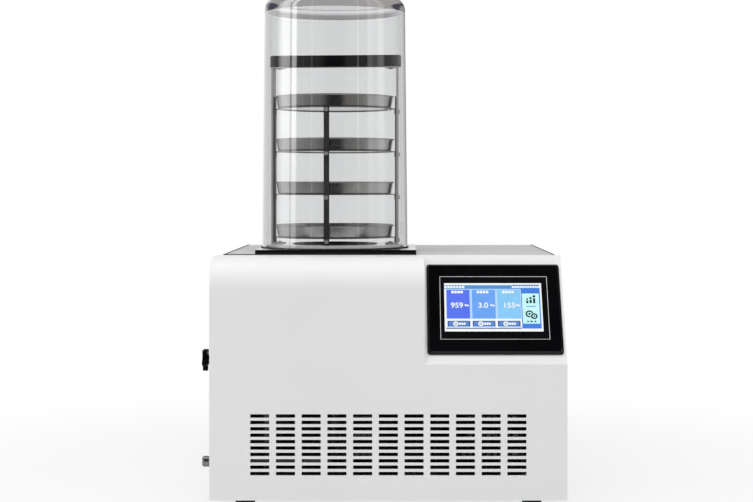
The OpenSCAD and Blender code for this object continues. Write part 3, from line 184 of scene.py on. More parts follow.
sky = add_node(tree, "ShaderNodeMixShader", {
    0: path.outputs["Is Camera Ray"], 1: lit.outputs[0], 2: white.outputs[0]})
add_node(tree, "ShaderNodeOutputWorld", {"Surface": sky.outputs[0]})


def place_mesh(piece):
    """Puts a piece's place, turn and size into its mesh."""
    bpy.ops.object.select_all(action="DESELECT")
    piece.select_set(True)
    bpy.context.view_layer.objects.active = piece
    bpy.ops.object.transform_apply(location=True, rotation=True, scale=True)
    return piece


bpy.ops.object.select_all(action="DESELECT")
bpy.ops.mesh.primitive_plane_add(size=2.8, location=(0, 0, 0))
floor = place_mesh(bpy.context.object)
floor.name = "floor"
floor_white = bpy.data.materials.new("floor_white")
floor_white.use_nodes = True
tree = floor_white.node_tree
tree.nodes.clear()
place = add_node(tree, "ShaderNodeTexCoord").outputs["Object"]
reach = add_node(tree, "ShaderNodeVectorMath", {0: place}, operation="LENGTH").outputs["Value"]
fade_start, fade_end = 0.5, 1.3      # metres from the middle of the floor
fade = map_range(tree, reach, fade_start, fade_end, 0.75, 1.0, interpolation_type="SMOOTHSTEP")
path = add_node(tree, "ShaderNodeLightPath")
clear_view = math_node(
    tree, "MAXIMUM", path.outputs["Is Camera Ray"], path.outputs["Is Transmission Ray"])
lit = add_node(tree, "ShaderNodeBsdfDiffuse", {"Color": (0.82, 0.82, 0.82, 1)})
white = add_node(tree, "ShaderNodeEmission", {"Color": plain_white, "Strength": 1.0})
share = math_node(tree, "MULTIPLY", clear_view, fade)
ground = add_node(tree, "ShaderNodeMixShader", {0: share, 1: lit.outputs[0], 2: white.outputs[0]})
add_node(tree, "ShaderNodeOutputMaterial", {"Surface": ground.outputs[0]})
floor.data.materials.append(floor_white)

lamp_data = bpy.data.lights.new("soft_lamp", "AREA")
lamp_data.shape = "RECTANGLE"
lamp_data.size = 2.4
lamp_data.size_y = 1.6
lamp_data.energy = 34
lamp = bpy.data.objects.new("soft_lamp", lamp_data)
scene.collection.objects.link(lamp)
lamp.location = (-0.2, -1.1, 2.4)
lamp.rotation_euler = (Vector((0, 0, 0.35)) - lamp.location).to_track_quat("-Z", "Y").to_euler()
lamp.visible_glossy = False
lamp.visible_transmission = False


# ---- Front panel ----
# One moulded shell of white plastic with a fine spark-eroded texture. Its cooling slots and the
# cut-out for the touch panel are part of the mould.


def new_group(name, inputs, outputs):
    """An empty shader node group. Inputs are (name, value), outputs are (name, socket type)."""
    group = bpy.data.node_groups.new(name, "ShaderNodeTree")
    for label, value in inputs:
        kind = "NodeSocketVector" if isinstance(value, tuple) else "NodeSocketFloat"
        socket = group.interface.new_socket(label, in_out="INPUT", socket_type=kind)
        socket.default_value = value
    for label, kind in outputs:
        group.interface.new_socket(label, in_out="OUTPUT", socket_type=kind)
    ends = group.nodes.new("NodeGroupInput"), group.nodes.new("NodeGroupOutput")
    return group, ends[0].outputs, ends[1].inputs


# Moulded or sprayed texture: a fine bump, and a slow drift of tone and gloss over the part.
mould_texture, given, result = new_group(
    "mould_texture",
    [("Grain", 900.0), ("Drift", 5.0)],
    [("Height", "NodeSocketFloat"), ("Tone", "NodeSocketFloat"), ("Gloss", "NodeSocketFloat")])
place = add_node(mould_texture, "ShaderNodeTexCoord").outputs["Object"]
grain = add_node(mould_texture, "ShaderNodeTexNoise", {
    "Vector": place, "Scale": given["Grain"], "Detail": 2.0, "Roughness": 0.6})
pits = add_node(mould_texture, "ShaderNodeTexVoronoi", {"Vector": place, "Scale": given["Grain"]})
drift = add_node(mould_texture, "ShaderNodeTexNoise", {
    "Vector": place, "Scale": given["Drift"], "Detail": 3.0, "Roughness": 0.5})
height = math_node(
    mould_texture, "MULTIPLY_ADD", pits.outputs["Distance"], 0.5, grain.outputs["Fac"])
mould_texture.links.new(height, result["Height"])
mould_texture.links.new(drift.outputs["Fac"], result["Tone"])
mixed = math_node(
    mould_texture, "ADD", math_node(mould_texture, "MULTIPLY", grain.outputs["Fac"], 0.4),
    math_node(mould_texture, "MULTIPLY", drift.outputs["Fac"], 0.6))
mould_texture.links.new(mixed, result["Gloss"])


def new_material(name, metallic=0.0, roughness=0.5):
    """A material with a Principled shader. Returns it, its tree and the shader."""
    material = bpy.data.materials.new(name)
    material.use_nodes = True
    tree = material.node_tree
    tree.nodes.clear()
    shader = add_node(tree, "ShaderNodeBsdfPrincipled", {
        "Metallic": metallic, "Roughness": roughness})
    add_node(tree, "ShaderNodeOutputMaterial", {"Surface": shader.outputs[0]})
    return material, tree, shader


def textured(name, dark, light, grain=900.0, drift=5.0, bump=0.05, gloss=(0.35, 0.5),
             metallic=0.0, shine=0.5):
    """A moulded, sprayed or cast finish between two near tones. gloss is the range of roughness,
    and shine is the strength of its mirroring."""
    material, tree, shader = new_material(name, metallic)
    shader.inputs["Specular IOR Level"].default_value = shine
    texture = add_node(tree, "ShaderNodeGroup", {"Grain": grain, "Drift": drift},
                       node_tree=mould_texture)
    tone = add_ramp(tree, texture.outputs["Tone"], [(0.3, dark), (0.7, light)])
    tree.links.new(tone, shader.inputs["Base Color"])
    rough = map_range(tree, texture.outputs["Gloss"], 0.3, 0.7, *gloss)
    tree.links.new(rough, shader.inputs["Roughness"])
    relief = add_node(tree, "ShaderNodeBump", {
        "Height": texture.outputs["Height"], "Strength": bump, "Distance": 0.0002})
    tree.links.new(relief.outputs[0], shader.inputs["Normal"])
    return material


def dress(material, *names):
    """Gives CAD nodes a finish in the slot they already have."""
    for name in names:
        nodes[name].data.materials[0] = material


front_white = textured("front_white", (0.800, 0.800, 0.802), (0.822, 0.822, 0.824),
                       grain=700.0, drift=3.0, bump=0.10, gloss=(0.42, 0.52))
dress(front_white, "front_panel")


# ---- Cover and rear panel ----
# Folded steel sheet with a grey powder coat, set well darker than the front; part of that darkness
# is painted shade for the dim look of the top in grazing light. A flat top, two bent sides and a
# rear panel with louvres. Screws hold them to the base pan.

# the grey is partly painted shade: darker than the front so the top looks as dim as in grazing
# light
cover_grey_and_painted_shade = textured("cover_grey_and_painted_shade", (0.52, 0.525, 0.53), (0.55, 0.553, 0.556),
                      grain=450.0, drift=3.0, bump=0.22, gloss=(0.45, 0.58))
dress(cover_grey_and_painted_shade, "top_cover", "cover_sides", "rear_panel")

# The seams round the flat top carry a bead of black: one along each bend, and one behind the front
# panel, as far as the seat plate reaches. The black is painted shade and painted reflection,
# standing in for the shadow in the seam gap and the dark room mirrored along the bends.
seam_painted_shade = textured("seam_painted_shade", (0.010, 0.010, 0.011), (0.018, 0.018, 0.019),
                   grain=500.0, drift=30.0, bump=0.2, gloss=(0.5, 0.65))
half_seam = 0.0004
top_low, top_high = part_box("top_cover")
seam_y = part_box("front_panel")[1].y + half_seam
plate_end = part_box("seat_plate")[1].x


def lay_bead(start, end, r):
    """A half-round bead between two points on a level surface, with rounded ends."""
    run = Vector(end) - Vector(start)
    bpy.ops.object.select_all(action="DESELECT")
    bpy.ops.mesh.primitive_cylinder_add(
        vertices=16, radius=r, depth=run.length, end_fill_type="NGON")
    bead = bpy.context.object
    bead.rotation_euler = run.to_track_quat("Z", "Y").to_euler()
    bead.location = (Vector(start) + Vector(end)) / 2
    place_mesh(bead)
    bpy.ops.object.mode_set(mode="EDIT")
    bpy.ops.mesh.select_all(action="SELECT")
    bpy.ops.mesh.bisect(plane_co=start, plane_no=(0, 0, 1), use_fill=True, clear_inner=True)
    bpy.ops.mesh.select_all(action="SELECT")
    bpy.ops.mesh.bevel(offset=r * 0.3, segments=2)
    bpy.ops.mesh.normals_make_consistent(inside=False)
    bpy.ops.object.mode_set(mode="OBJECT")
    bead.data.materials.append(seam_painted_shade)
    return bead


def join_pieces(name, pieces):
    """Joins pieces to one, under the name given."""
    bpy.ops.object.select_all(action="DESELECT")
    for piece in pieces:
        piece.select_set(True)
    bpy.context.view_layer.objects.active = pieces[0]
    if len(pieces) > 1:
        bpy.ops.object.join()
    pieces[0].name = pieces[0].data.name = name
    return pieces[0]


bend_bead_r, front_bead_r = 0.0011, 0.0014
cover_seam_painted_shade = join_pieces("cover_seam_painted_shade", [
    lay_bead((top_low.x, seam_y, top_high.z), (top_low.x, top_high.y, top_high.z), bend_bead_r),
    lay_bead((top_high.x, seam_y, top_high.z), (top_high.x, top_high.y, top_high.z), bend_bead_r),
    lay_bead((top_low.x, seam_y, top_high.z), (plate_end, seam_y, top_high.z), front_bead_r),
])
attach(cover_seam_painted_shade, "case")


# ---- Base, feet and case screws ----
# A galvanised steel pan on four turned rubber feet. The cover and the rear panel are held to
# its flanges by pan-head screws.

zinc, tree, shader = new_material("zinc", metallic=1.0)
place = add_node(tree, "ShaderNodeTexCoord").outputs["Object"]
spangle = add_node(tree, "ShaderNodeTexVoronoi", {"Vector": place, "Scale": 90.0})
tone = add_ramp(tree, spangle.outputs["Color"], [
    (0.2, (0.5, 0.51, 0.52)), (0.8, (0.66, 0.67, 0.69))])
tree.links.new(tone, shader.inputs["Base Color"])
rough = map_range(tree, spangle.outputs["Distance"], 0.0, 1.0, 0.32, 0.5)
tree.links.new(rough, shader.inputs["Roughness"])
dress(zinc, "base_pan", "trap_cradle", "fan_shroud")

rubber = textured("rubber", (0.018, 0.018, 0.018), (0.032, 0.032, 0.033),
                  grain=600.0, drift=20.0, bump=0.2, gloss=(0.6, 0.8))
dress(rubber, "feet", "compressor_grommets", "bell_gasket")


# ---- Touch panel ----
# A glossy black moulded bezel with a recessed glass, on the sloped part of the front. The lit
# picture lies on the glass as thin coloured films.

bezel_black = textured("bezel_black", (0.0015, 0.0015, 0.002), (0.003, 0.003, 0.004),
                       grain=300.0, drift=8.0, bump=0.02, gloss=(0.10, 0.16), shine=0.3)
dress(bezel_black, "hmi_bezel")
glass_black = textured("glass_black", (0.003, 0.003, 0.004), (0.005, 0.005, 0.006),
                       grain=200.0, drift=12.0, bump=0.005, gloss=(0.05, 0.08))
dress(glass_black, "hmi_screen")
housing_black = textured("housing_black", (0.012, 0.012, 0.013), (0.02, 0.02, 0.021),
                         grain=500.0, drift=12.0, bump=0.1, gloss=(0.5, 0.62))
dress(housing_black, "hmi_housing")

# the plane of the glass: its outward normal, and its middle
glass = nodes["hmi_screen"].data
facing_out = [p for p in glass.polygons if p.normal.y < 0 < p.normal.z]
glass_out = max(facing_out, key=lambda p: p.area).normal.copy()
top = max(v.co.dot(glass_out) for v in glass.vertices)
rim = [v.co for v in glass.vertices if top - v.co.dot(glass_out) < 1e-5]
low, high = (Vector(f(v[i] for v in rim) for i in range(3)) for f in (min, max))
across = Vector((1, 0, 0))
slope = Matrix((across, glass_out.cross(across), glass_out)).transposed().to_4x4()
slope.translation = (low + high) / 2


def film_material(name, colour):
    """A lit film behind clear varnish, faintly uneven in tone."""
    material, tree, shader = new_material(name, roughness=0.16)
    place = add_node(tree, "ShaderNodeTexCoord").outputs["Object"]
    cells = add_node(tree, "ShaderNodeTexNoise", {"Vector": place, "Scale": 60.0, "Detail": 2.0})
    shade = tuple(c * 0.93 for c in colour)
    tone = add_ramp(tree, cells.outputs["Fac"], [(0.35, shade), (0.65, colour)])
    tree.links.new(tone, shader.inputs["Emission Color"])
    shader.inputs["Base Color"].default_value = (0.005, 0.005, 0.005, 1)
    shader.inputs["Specular IOR Level"].default_value = 0.08
    shader.inputs["Emission Strength"].default_value = 1.0
    return material


film_white = film_material("film_white", (0.95, 0.985, 1.0))
film_header = film_material("film_header", (0.095, 0.30, 0.69))
film_pale = film_material("film_pale", (0.50, 0.73, 1.0))
film_violet = film_material("film_violet", (0.11, 0.19, 0.90))
film_blue = film_material("film_blue", (0.165, 0.40, 0.94))
film_sky = film_material("film_sky", (0.26, 0.62, 0.97))
film_navy = film_material("film_navy", (0.016, 0.045, 0.21))
film_button = film_material("film_button", (0.12, 0.27, 0.66))
film_side = film_material("film_side", (0.065, 0.23, 0.80))
film_cyan = film_material("film_cyan", (0.60, 0.98, 0.99))
film_ink = film_material("film_ink", (0.002, 0.017, 0.035))

film_step = 0.00004      # metres from one layer of films to the next


def lay_film(x, y, w, h, layer, material, corner=0.0):
    """A thin rectangular film, in millimetres from the middle of the glass, +y up the slope."""
    bpy.ops.object.select_all(action="DESELECT")
    bpy.ops.mesh.primitive_plane_add(
        size=0.001, location=(x / 1000, y / 1000, film_step * (layer + 1)))
    film = bpy.context.object
    film.scale = (w, h, 1)
    place_mesh(film)
    bpy.ops.object.mode_set(mode="EDIT")
    if corner:
        bpy.ops.mesh.bevel(offset=corner / 1000, segments=4, affect="VERTICES")
    bpy.ops.mesh.extrude_region_move(TRANSFORM_OT_translate={"value": (0, 0, -film_step / 2)})
    bpy.ops.mesh.select_all(action="SELECT")
    bpy.ops.mesh.normals_make_consistent(inside=False)
    bpy.ops.object.mode_set(mode="OBJECT")
    film.data.materials.append(material)
    return film


def lay_ring(x, y, r, hole, layer, material):
    """A thin ring on the glass, or a disc where hole is 0."""
    bpy.ops.object.select_all(action="DESELECT")
    bpy.ops.mesh.primitive_circle_add(
        vertices=32, radius=r / 1000, fill_type="NGON",
        location=(x / 1000, y / 1000, film_step * (layer + 1)))
    ring = place_mesh(bpy.context.object)
    bpy.ops.object.mode_set(mode="EDIT")
    if hole:
        bpy.ops.mesh.inset(thickness=(r - hole) / 1000, depth=0)
        bpy.ops.mesh.delete(type="FACE")
    bpy.ops.object.mode_set(mode="OBJECT")
    ring.data.materials.append(material)
    return ring


def lay_number(words, x, y, size, layer, material):
    """A reading in plain figures, centred on x and y."""
    bpy.ops.object.select_all(action="DESELECT")
    bpy.ops.object.text_add(location=(x / 1000, y / 1000, film_step * (layer + 1)))
    figures = bpy.context.object
    figures.data.body = words
    figures.data.align_x = "CENTER"
    figures.data.align_y = "CENTER"
    figures.data.size = size / 1000
    figures.data.offset = size / 1000 * 0.02
    bpy.ops.object.convert(target="MESH")
    figures = place_mesh(bpy.context.object)
    figures.data.materials.append(material)
    return figures


def join_on_slope(name, films):
    """Joins films to one piece, moves it from the drawing plane to the slope, and lets it ride."""
    piece = join_pieces(name, films)
    piece.matrix_world = slope
    place_mesh(piece)
    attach(piece, "case")


# Picture: a white ground, a header, three tiles with a button under each, and a side column.
# Every film is given as x, y, width, height and layer.
tiles = (-57.4, -16.5, 24.1)
buttons = (-56.8, -17.0, 22.8)
side_x = 58.7
header_y, tile_y, button_y = 37.8, 6.4, -28.8
picture = [
    lay_film(-1.3, 1.0, 156, 87.8, 0, film_white),
    lay_film(-3, header_y, 152, 7, 1, film_header),
    lay_film(-16.3, 33.5, 120, 1.4, 1, film_pale),
    lay_film(-16.5, tile_y, 118.6, 52.8, 1, film_pale),
    lay_film(51.8, 41.2, 43.4, 1.1, 2, film_navy),
    lay_film(-17.2, -37.5, 119.6, 1.5, 1, film_navy),
    lay_film(side_x, -1.1, 30.6, 73.4, 2, film_side),
    lay_film(58.5, -1.5, 27.2, 55, 3, film_cyan),
    lay_film(side_x, 26.6, 27.3, 0.8, 3, film_navy),
]
for x, button_x, film in zip(tiles, buttons, (film_violet, film_blue, film_sky)):
    picture += [
        lay_film(x, tile_y, 37.2, 52.6, 2, film),
        lay_film(x, -35, 37.6, 2.4, 1, film_pale),
        lay_film(button_x, button_y, 36, 9.8, 1, film_navy, corner=0.6),
        lay_film(button_x, button_y, 33, 7.6, 2, film_button, corner=0.6),
    ]
join_on_slope("display_picture", picture)

# white figures, title marks and unit marks on the tiles
number_y, number_size = 3.9, 13.4
title_y, title_step = 28.6, 4.9
marks = [
    lay_number(words, x, number_y, number_size, 3, film_white)
    for words, x in (("959", -59.3), ("3.0", -17.6), ("155", 24))
]
for x in tiles:
    for i in range(4):
        title_x = x - 8.6 + i * title_step
        marks.append(lay_film(title_x, title_y, 4.1, 4.8, 3, film_white, corner=1.2))
    marks.append(lay_film(x + 12, 4.6, 3, 3.6, 3, film_white, corner=0.5))
    marks.append(lay_film(x + 15.6, 3.8, 3, 3, 3, film_white, corner=0.5))

# a white target and three marks on each button
target_y, button_mark_y, button_mark_step = -29.1, -29.2, 3.6
for x in buttons:
    marks.append(lay_ring(x - 5, target_y, 4.3, 2.2, 3, film_white))
    marks.append(lay_ring(x - 5, target_y, 1.2, 0, 3, film_white))
    for i in range(3):
        mark_x = x + 1.6 + i * button_mark_step
        marks.append(lay_film(mark_x, button_mark_y, 3, 4.2, 3, film_white, corner=0.6))

# two rows of small marks on the header: start, how many, step, y, width and height
for start, count, step, y, w, h in ((-76.8, 7, 4.7, header_y, 3.7, 4.2),
                                    (31.2, 11, 4.1, 38, 3.5, 3.4)):
    for i in range(count):
        marks.append(lay_film(start + i * step, y, w, h, 2, film_white, corner=0.5))
join_on_slope("display_marks", marks)

# dark icons on the light column: rising bars with dots over them, and two linked wheels
bar_foot, bar_width = 8, 3.4
wheel, front_wheel = (55.8, -11.4), (63.1, -15.6)
icons = []
for x, top, dot in ((53.2, 12.6, 1.6), (58.6, 14.4, 1.9), (64.2, 17.2, 2.2)):
    middle, tall = (top + bar_foot) / 2, top - bar_foot
    icons.append(lay_film(x, middle, bar_width, tall, 4, film_ink, corner=0.6))
    icons.append(lay_ring(x, top + 1.2 + dot, dot, 0, 4, film_ink))
icons += [
    lay_film(side_x, 2.2, 15, 1.5, 4, film_button, corner=0.3),
    lay_ring(*wheel, 6.3, 3.9, 4, film_ink),
    lay_ring(*wheel, 1.8, 0, 4, film_ink),
    lay_ring(*front_wheel, 6.2, 0, 5, film_cyan),
    lay_ring(*front_wheel, 5.3, 2.9, 6, film_ink),
    lay_ring(*front_wheel, 1.4, 0, 6, film_ink),
]
for x, w in ((52.8, 2.6), (58.3, 4.4), (64.4, 3.2)):
    icons.append(lay_film(x, -25, w, 2.2, 4, film_ink, corner=0.5))
join_on_slope("display_icons", icons)

# bead in the corner between the glass and the bezel, with soft edges; its light grey is painted
# highlight, standing in for the light caught by the edge of the recess
bead_painted_highlight = textured("bead_painted_highlight", (0.62, 0.62, 0.63), (0.74, 0.74, 0.75),
                     grain=300.0, drift=40.0, bump=0.05, gloss=(0.35, 0.5))
bead_across, bead_up = 172.9, 114.9      # its outer size in millimetres
bead_width, bead_thick, bead_soft = 0.0009, 0.0004, 0.00012
bpy.ops.object.select_all(action="DESELECT")
bpy.ops.mesh.primitive_plane_add(size=0.001)
bead = bpy.context.object
bead.scale = (bead_across, bead_up, 1)
place_mesh(bead)
bpy.ops.object.mode_set(mode="EDIT")
bpy.ops.mesh.inset(thickness=bead_width, depth=0)
bpy.ops.mesh.delete(type="FACE")
bpy.ops.mesh.select_all(action="SELECT")
bpy.ops.mesh.extrude_region_move(TRANSFORM_OT_translate={"value": (0, 0, bead_thick)})
bpy.ops.mesh.select_all(action="SELECT")
bpy.ops.mesh.normals_make_consistent(inside=False)
bpy.ops.mesh.bevel(offset=bead_soft, segments=2)
bpy.ops.object.mode_set(mode="OBJECT")
bead.data.materials.append(bead_painted_highlight)
join_on_slope("glass_edge_highlight", [bead])


# ---- Seat plate ----
# A square plate of polished black phenolic, cut to size and laid over the mouth of the trap. The
# foot of the clear chamber stands on it, on a rubber gasket.

seat_black = textured("seat_black", (0.003, 0.0025, 0.003), (0.006, 0.0045, 0.005),
                      grain=260.0, drift=6.0, bump=0.02, gloss=(0.08, 0.16), shine=0.35)
dress(seat_black, "seat_plate")


# ---- Chamber ----
# A clear acrylic tube, a little wider at its foot, with a thick domed lid bonded on. Light goes
# straight through it to the trays.


def acrylic(name, tint):
    """Polished clear acrylic with faint wiping marks. Rays to lamps, and rays that have been
    mirrored, pass as through air."""
    material, tree, shader = new_material(name)
    shader.inputs["Base Color"].default_value = (*tint, 1)
    shader.inputs["Transmission Weight"].default_value = 1.0
    shader.inputs["IOR"].default_value = 1.49
    shader.inputs["Specular IOR Level"].default_value = 0.9
    place = add_node(tree, "ShaderNodeTexCoord").outputs["Object"]
    stretched = add_node(tree, "ShaderNodeMapping", {"Vector": place, "Scale": (60, 60, 5)})
    wiping = add_node(tree, "ShaderNodeTexNoise", {
        "Vector": stretched.outputs[0], "Scale": 1.0, "Detail": 4.0})
    rough = map_range(tree, wiping.outputs["Fac"], 0.4, 0.7, 0.0, 0.03)
    tree.links.new(rough, shader.inputs["Roughness"])
    clear = add_node(tree, "ShaderNodeBsdfTransparent", {"Color": (0.92, 0.92, 0.92, 1)})
    path = add_node(tree, "ShaderNodeLightPath")
    through = math_node(
        tree, "MAXIMUM", path.outputs["Is Shadow Ray"], path.outputs["Is Reflection Ray"])
    out = add_node(tree, "ShaderNodeMixShader", {
        0: through, 1: shader.outputs[0], 2: clear.outputs[0]})
    tree.links.new(out.outputs[0], tree.nodes["Material Output"].inputs["Surface"])
    return material


dress(acrylic("tube_acrylic", (0.86, 0.865, 0.87)), "chamber_tube")
dress(acrylic("lid_acrylic", (0.86, 0.865, 0.88)), "chamber_lid")


# ---- Cold trap ----
# A deep-drawn stainless well with a copper coil round it, packed in foam. A guide tube hangs
# from the stand into the well.

# Brushed metal: fine scratches that run along one direction of the given coordinates.
brush_marks, given, result = new_group(
    "brush_marks",
    [("Vector", (0.0, 0.0, 0.0)), ("Along", 4.0), ("Across", 900.0)],
    [("Height", "NodeSocketFloat"), ("Tone", "NodeSocketFloat")])
parts = add_node(brush_marks, "ShaderNodeSeparateXYZ", {0: given["Vector"]})
stretched = add_node(brush_marks, "ShaderNodeCombineXYZ", {
    0: math_node(brush_marks, "MULTIPLY", parts.outputs["X"], given["Along"]),
    1: math_node(brush_marks, "MULTIPLY", parts.outputs["Y"], given["Across"]),
    2: math_node(brush_marks, "MULTIPLY", parts.outputs["Z"], given["Across"])})
scratches = add_node(brush_marks, "ShaderNodeTexNoise", {
    "Vector": stretched.outputs[0], "Scale": 1.0, "Detail": 3.0, "Roughness": 0.65})
smears = add_node(brush_marks, "ShaderNodeTexNoise", {
    "Vector": given["Vector"], "Scale": 14.0, "Detail": 2.0})
brush_marks.links.new(scratches.outputs["Fac"], result["Height"])
mixed = math_node(
    brush_marks, "ADD", math_node(brush_marks, "MULTIPLY", scratches.outputs["Fac"], 0.5),
    math_node(brush_marks, "MULTIPLY", smears.outputs["Fac"], 0.5))
brush_marks.links.new(mixed, result["Tone"])


def brushed(name, dark, light, round_axis=None, along=4.0, across=900.0, bump=0.15,
            gloss=(0.18, 0.34), metallic=1.0):
    """Brushed or spun metal. round_axis is the (x, y) of the axis that the marks run round.
    Without it they run along X. along and across are the scales of the marks."""
    material, tree, shader = new_material(name, metallic)
    place = add_node(tree, "ShaderNodeTexCoord").outputs["Object"]
    if round_axis:
        place = add_node(tree, "ShaderNodeMapping", {
            "Vector": place, "Location": (-round_axis[0], -round_axis[1], 0)}).outputs[0]
        parts = add_node(tree, "ShaderNodeSeparateXYZ", {0: place})
        flat = add_node(tree, "ShaderNodeCombineXYZ", {
            0: parts.outputs["X"], 1: parts.outputs["Y"]})
        radius = add_node(tree, "ShaderNodeVectorMath", {0: flat.outputs[0]}, operation="LENGTH")
        angle = math_node(tree, "ARCTAN2", parts.outputs["Y"], parts.outputs["X"])
        around = math_node(tree, "ABSOLUTE", angle)
        place = add_node(tree, "ShaderNodeCombineXYZ", {
            0: math_node(tree, "MULTIPLY", around, 0.1),
            1: radius.outputs["Value"], 2: parts.outputs["Z"]}).outputs[0]
    marks = add_node(tree, "ShaderNodeGroup", {
        "Vector": place, "Along": along, "Across": across}, node_tree=brush_marks)
    tone = add_ramp(tree, marks.outputs["Tone"], [(0.35, dark), (0.65, light)])
    tree.links.new(tone, shader.inputs["Base Color"])
    rough = map_range(tree, marks.outputs["Tone"], 0.35, 0.65, *gloss)
    tree.links.new(rough, shader.inputs["Roughness"])
    relief = add_node(tree, "ShaderNodeBump", {
        "Height": marks.outputs["Height"], "Strength": bump, "Distance": 0.0001})
    tree.links.new(relief.outputs[0], shader.inputs["Normal"])
    return material


low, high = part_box("trap_well")
trap_axis = (low.x + high.x) / 2, (low.y + high.y) / 2
trap_steel = brushed("trap_steel", (0.56, 0.56, 0.57), (0.66, 0.66, 0.67), trap_axis,
                     gloss=(0.2, 0.34))
dress(trap_steel, "trap_well")
# the guide tube's near black is painted shade: stainless steel made as dark as the shade in the
# mouth of the trap
guide_steel = brushed("guide_steel", (0.05, 0.05, 0.05), (0.08, 0.08, 0.08), trap_axis,
                      gloss=(0.28, 0.4))
dress(guide_steel, "guide_tube")

copper = textured("copper", (0.60, 0.26, 0.15), (0.78, 0.42, 0.27),
                  grain=60.0, drift=14.0, bump=0.05, gloss=(0.22, 0.42), metallic=1.0)
dress(copper, "evaporator_coil", "suction_pipe", "discharge_pipe", "liquid_pipe",
      "expansion_pipe")
foam_cream = textured("foam_cream", (0.66, 0.57, 0.36), (0.78, 0.70, 0.48),
                      grain=240.0, drift=9.0, bump=0.9, gloss=(0.85, 0.95))
dress(foam_cream, "trap_insulation")


# ---- Tray stand ----
# Flat stainless strips bent in at both ends and screwed to a base disc and to a black handle.
# Inner rails and a front post carry a ring under each tray.

# the base disc's near-white, faintly lilac tone, with little metal, is painted reflection: the
# bright room that polished steel would mirror, laid in as colour
base_disc_painted_reflection = brushed("base_disc_painted_reflection", (0.84, 0.81, 0.83), (0.93, 0.90, 0.92), trap_axis,
                      bump=0.06, gloss=(0.06, 0.13), metallic=0.1)
dress(base_disc_painted_reflection, "stand_base")
strip_steel = brushed("strip_steel", (0.50, 0.50, 0.49), (0.62, 0.62, 0.61),
                      gloss=(0.35, 0.5), metallic=0.45)
dress(strip_steel, "stand_upright_left", "stand_upright_right")
rail_steel = brushed("rail_steel", (0.040, 0.040, 0.040), (0.060, 0.060, 0.060),
                     gloss=(0.35, 0.5), metallic=0.3)
dress(rail_steel, "stand_rail_left", "stand_rail_right", "stand_post_front")
# the rings are made dark as painted shade, giving the dark line of shadow under each tray
ring_steel = brushed("ring_steel", (0.16, 0.16, 0.16), (0.24, 0.24, 0.24), trap_axis,
                     gloss=(0.3, 0.42), metallic=0.5)
dress(ring_steel, "support_ring_1", "support_ring_2", "support_ring_3", "support_ring_4")
handle_black = textured("handle_black", (0.003, 0.003, 0.0045), (0.005, 0.005, 0.0075),
                        grain=500.0, drift=10.0, bump=0.08, gloss=(0.36, 0.46), shine=0.1)
dress(handle_black, "stand_handle")
screw_steel = brushed("screw_steel", (0.50, 0.50, 0.50), (0.62, 0.62, 0.62),
                      gloss=(0.25, 0.35), metallic=0.6)
dress(screw_steel, "stand_screws")


# ---- Trays ----
# Spun stainless dishes with a rolled lip, finely marked round their axis by the spinning. They
# rest loose on the rings of the stand.

tray_steel = brushed("tray_steel", (0.50, 0.495, 0.485), (0.62, 0.61, 0.60), trap_axis,
                     along=3.0, across=700.0, bump=0.10, gloss=(0.14, 0.24))
dress(tray_steel, "tray_1", "tray_2", "tray_3", "tray_4")


# ---- Vent valve and drain, on the left side ----
# A moulded black star knob on a steel stem lets air back in. Below it a turned steel drain fitting
# takes a tube. Milky hoses lead from them to the vacuum pipe and to the trap.

knob_black = textured("knob_black", (0.0015, 0.0015, 0.0015), (0.003, 0.003, 0.003),
                      grain=420.0, drift=20.0, bump=0.08, gloss=(0.36, 0.46), shine=0.08)
dress(knob_black, "valve_knob")
fitting_steel = brushed("fitting_steel", (0.25, 0.25, 0.25), (0.34, 0.34, 0.34),
                        gloss=(0.22, 0.34))
dress(fitting_steel, "valve_body", "drain_fitting")
hose_milky = textured("hose_milky", (0.62, 0.62, 0.58), (0.72, 0.72, 0.69),
                      grain=300.0, drift=12.0, bump=0.05, gloss=(0.35, 0.5))
dress(hose_milky, "valve_hose", "drain_hose")


# ---- Vacuum line ----
# Bent stainless pipe from the trap's floor to the flanged port on the rear panel. A stub on it
# carries the gauge.

pipe_steel = brushed("pipe_steel", (0.52, 0.52, 0.52), (0.64, 0.64, 0.64), gloss=(0.2, 0.32))
dress(pipe_steel, "vacuum_port", "vacuum_pipe", "vacuum_gauge")


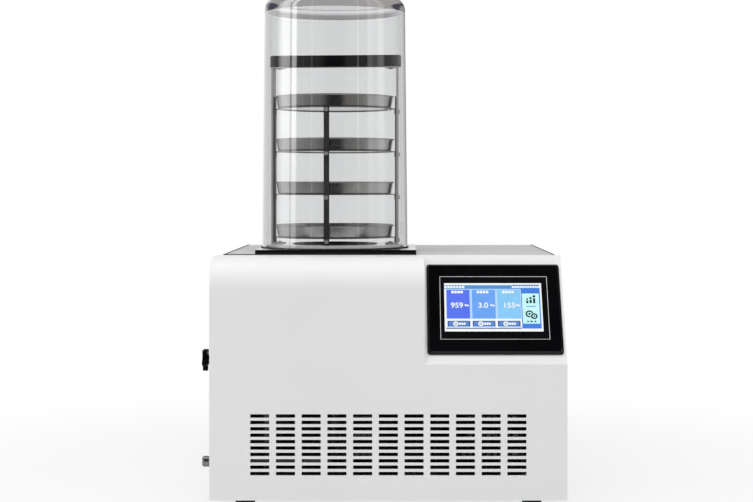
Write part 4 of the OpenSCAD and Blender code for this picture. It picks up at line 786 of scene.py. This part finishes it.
# ---- Cooling circuit ----
# A hermetic compressor on rubber grommets, a finned condenser behind the front slots, and a fan
# that draws air through it.

shell_black = textured("shell_black", (0.010, 0.010, 0.011), (0.022, 0.022, 0.024),
                       grain=160.0, drift=9.0, bump=0.25, gloss=(0.3, 0.5))
dress(shell_black, "compressor")
# the black of the fins and tubes is partly painted shade, keeping the front slots as dark as the
# shade inside the case
fin_enamel_and_painted_shade = textured("fin_enamel_and_painted_shade", (0.006, 0.006, 0.007), (0.012, 0.012, 0.013),
                      grain=120.0, drift=8.0, bump=0.05, gloss=(0.45, 0.6))
dress(fin_enamel_and_painted_shade, "condenser_fins", "condenser_tubes")
motor_grey = textured("motor_grey", (0.10, 0.105, 0.11), (0.15, 0.155, 0.165),
                      grain=300.0, bump=0.15)
dress(motor_grey, "fan_motor")
fan_black = textured("fan_black", (0.014, 0.014, 0.015), (0.024, 0.024, 0.026),
                     grain=400.0, bump=0.08)
dress(fan_black, "fan_rotor")
drier_brass = textured("drier_brass", (0.50, 0.30, 0.10), (0.68, 0.46, 0.18),
                       grain=80.0, drift=20.0, bump=0.05, gloss=(0.25, 0.4), metallic=1.0)
dress(drier_brass, "filter_drier")


# ---- Electrics ----
# A mains inlet, a rocker switch and an outlet for the pump in the rear panel, and a control box
# inside it.

socket_black = textured("socket_black", (0.010, 0.010, 0.010), (0.018, 0.018, 0.018),
                        grain=500.0, drift=20.0, bump=0.1, gloss=(0.3, 0.42))
dress(socket_black, "power_inlet", "pump_socket", "switch_frame")
rocker_red = textured("rocker_red", (0.42, 0.010, 0.008), (0.50, 0.016, 0.012),
                      grain=500.0, drift=20.0, bump=0.06, gloss=(0.2, 0.3))
dress(rocker_red, "switch_rocker")
control_grey = textured("control_grey", (0.42, 0.43, 0.42), (0.48, 0.49, 0.48),
                        grain=450.0, bump=0.15)
dress(control_grey, "control_box")
case_screw_steel = brushed("case_screw_steel", (0.52, 0.52, 0.53), (0.66, 0.66, 0.67),
                           gloss=(0.2, 0.32))
dress(case_screw_steel, "panel_screws")
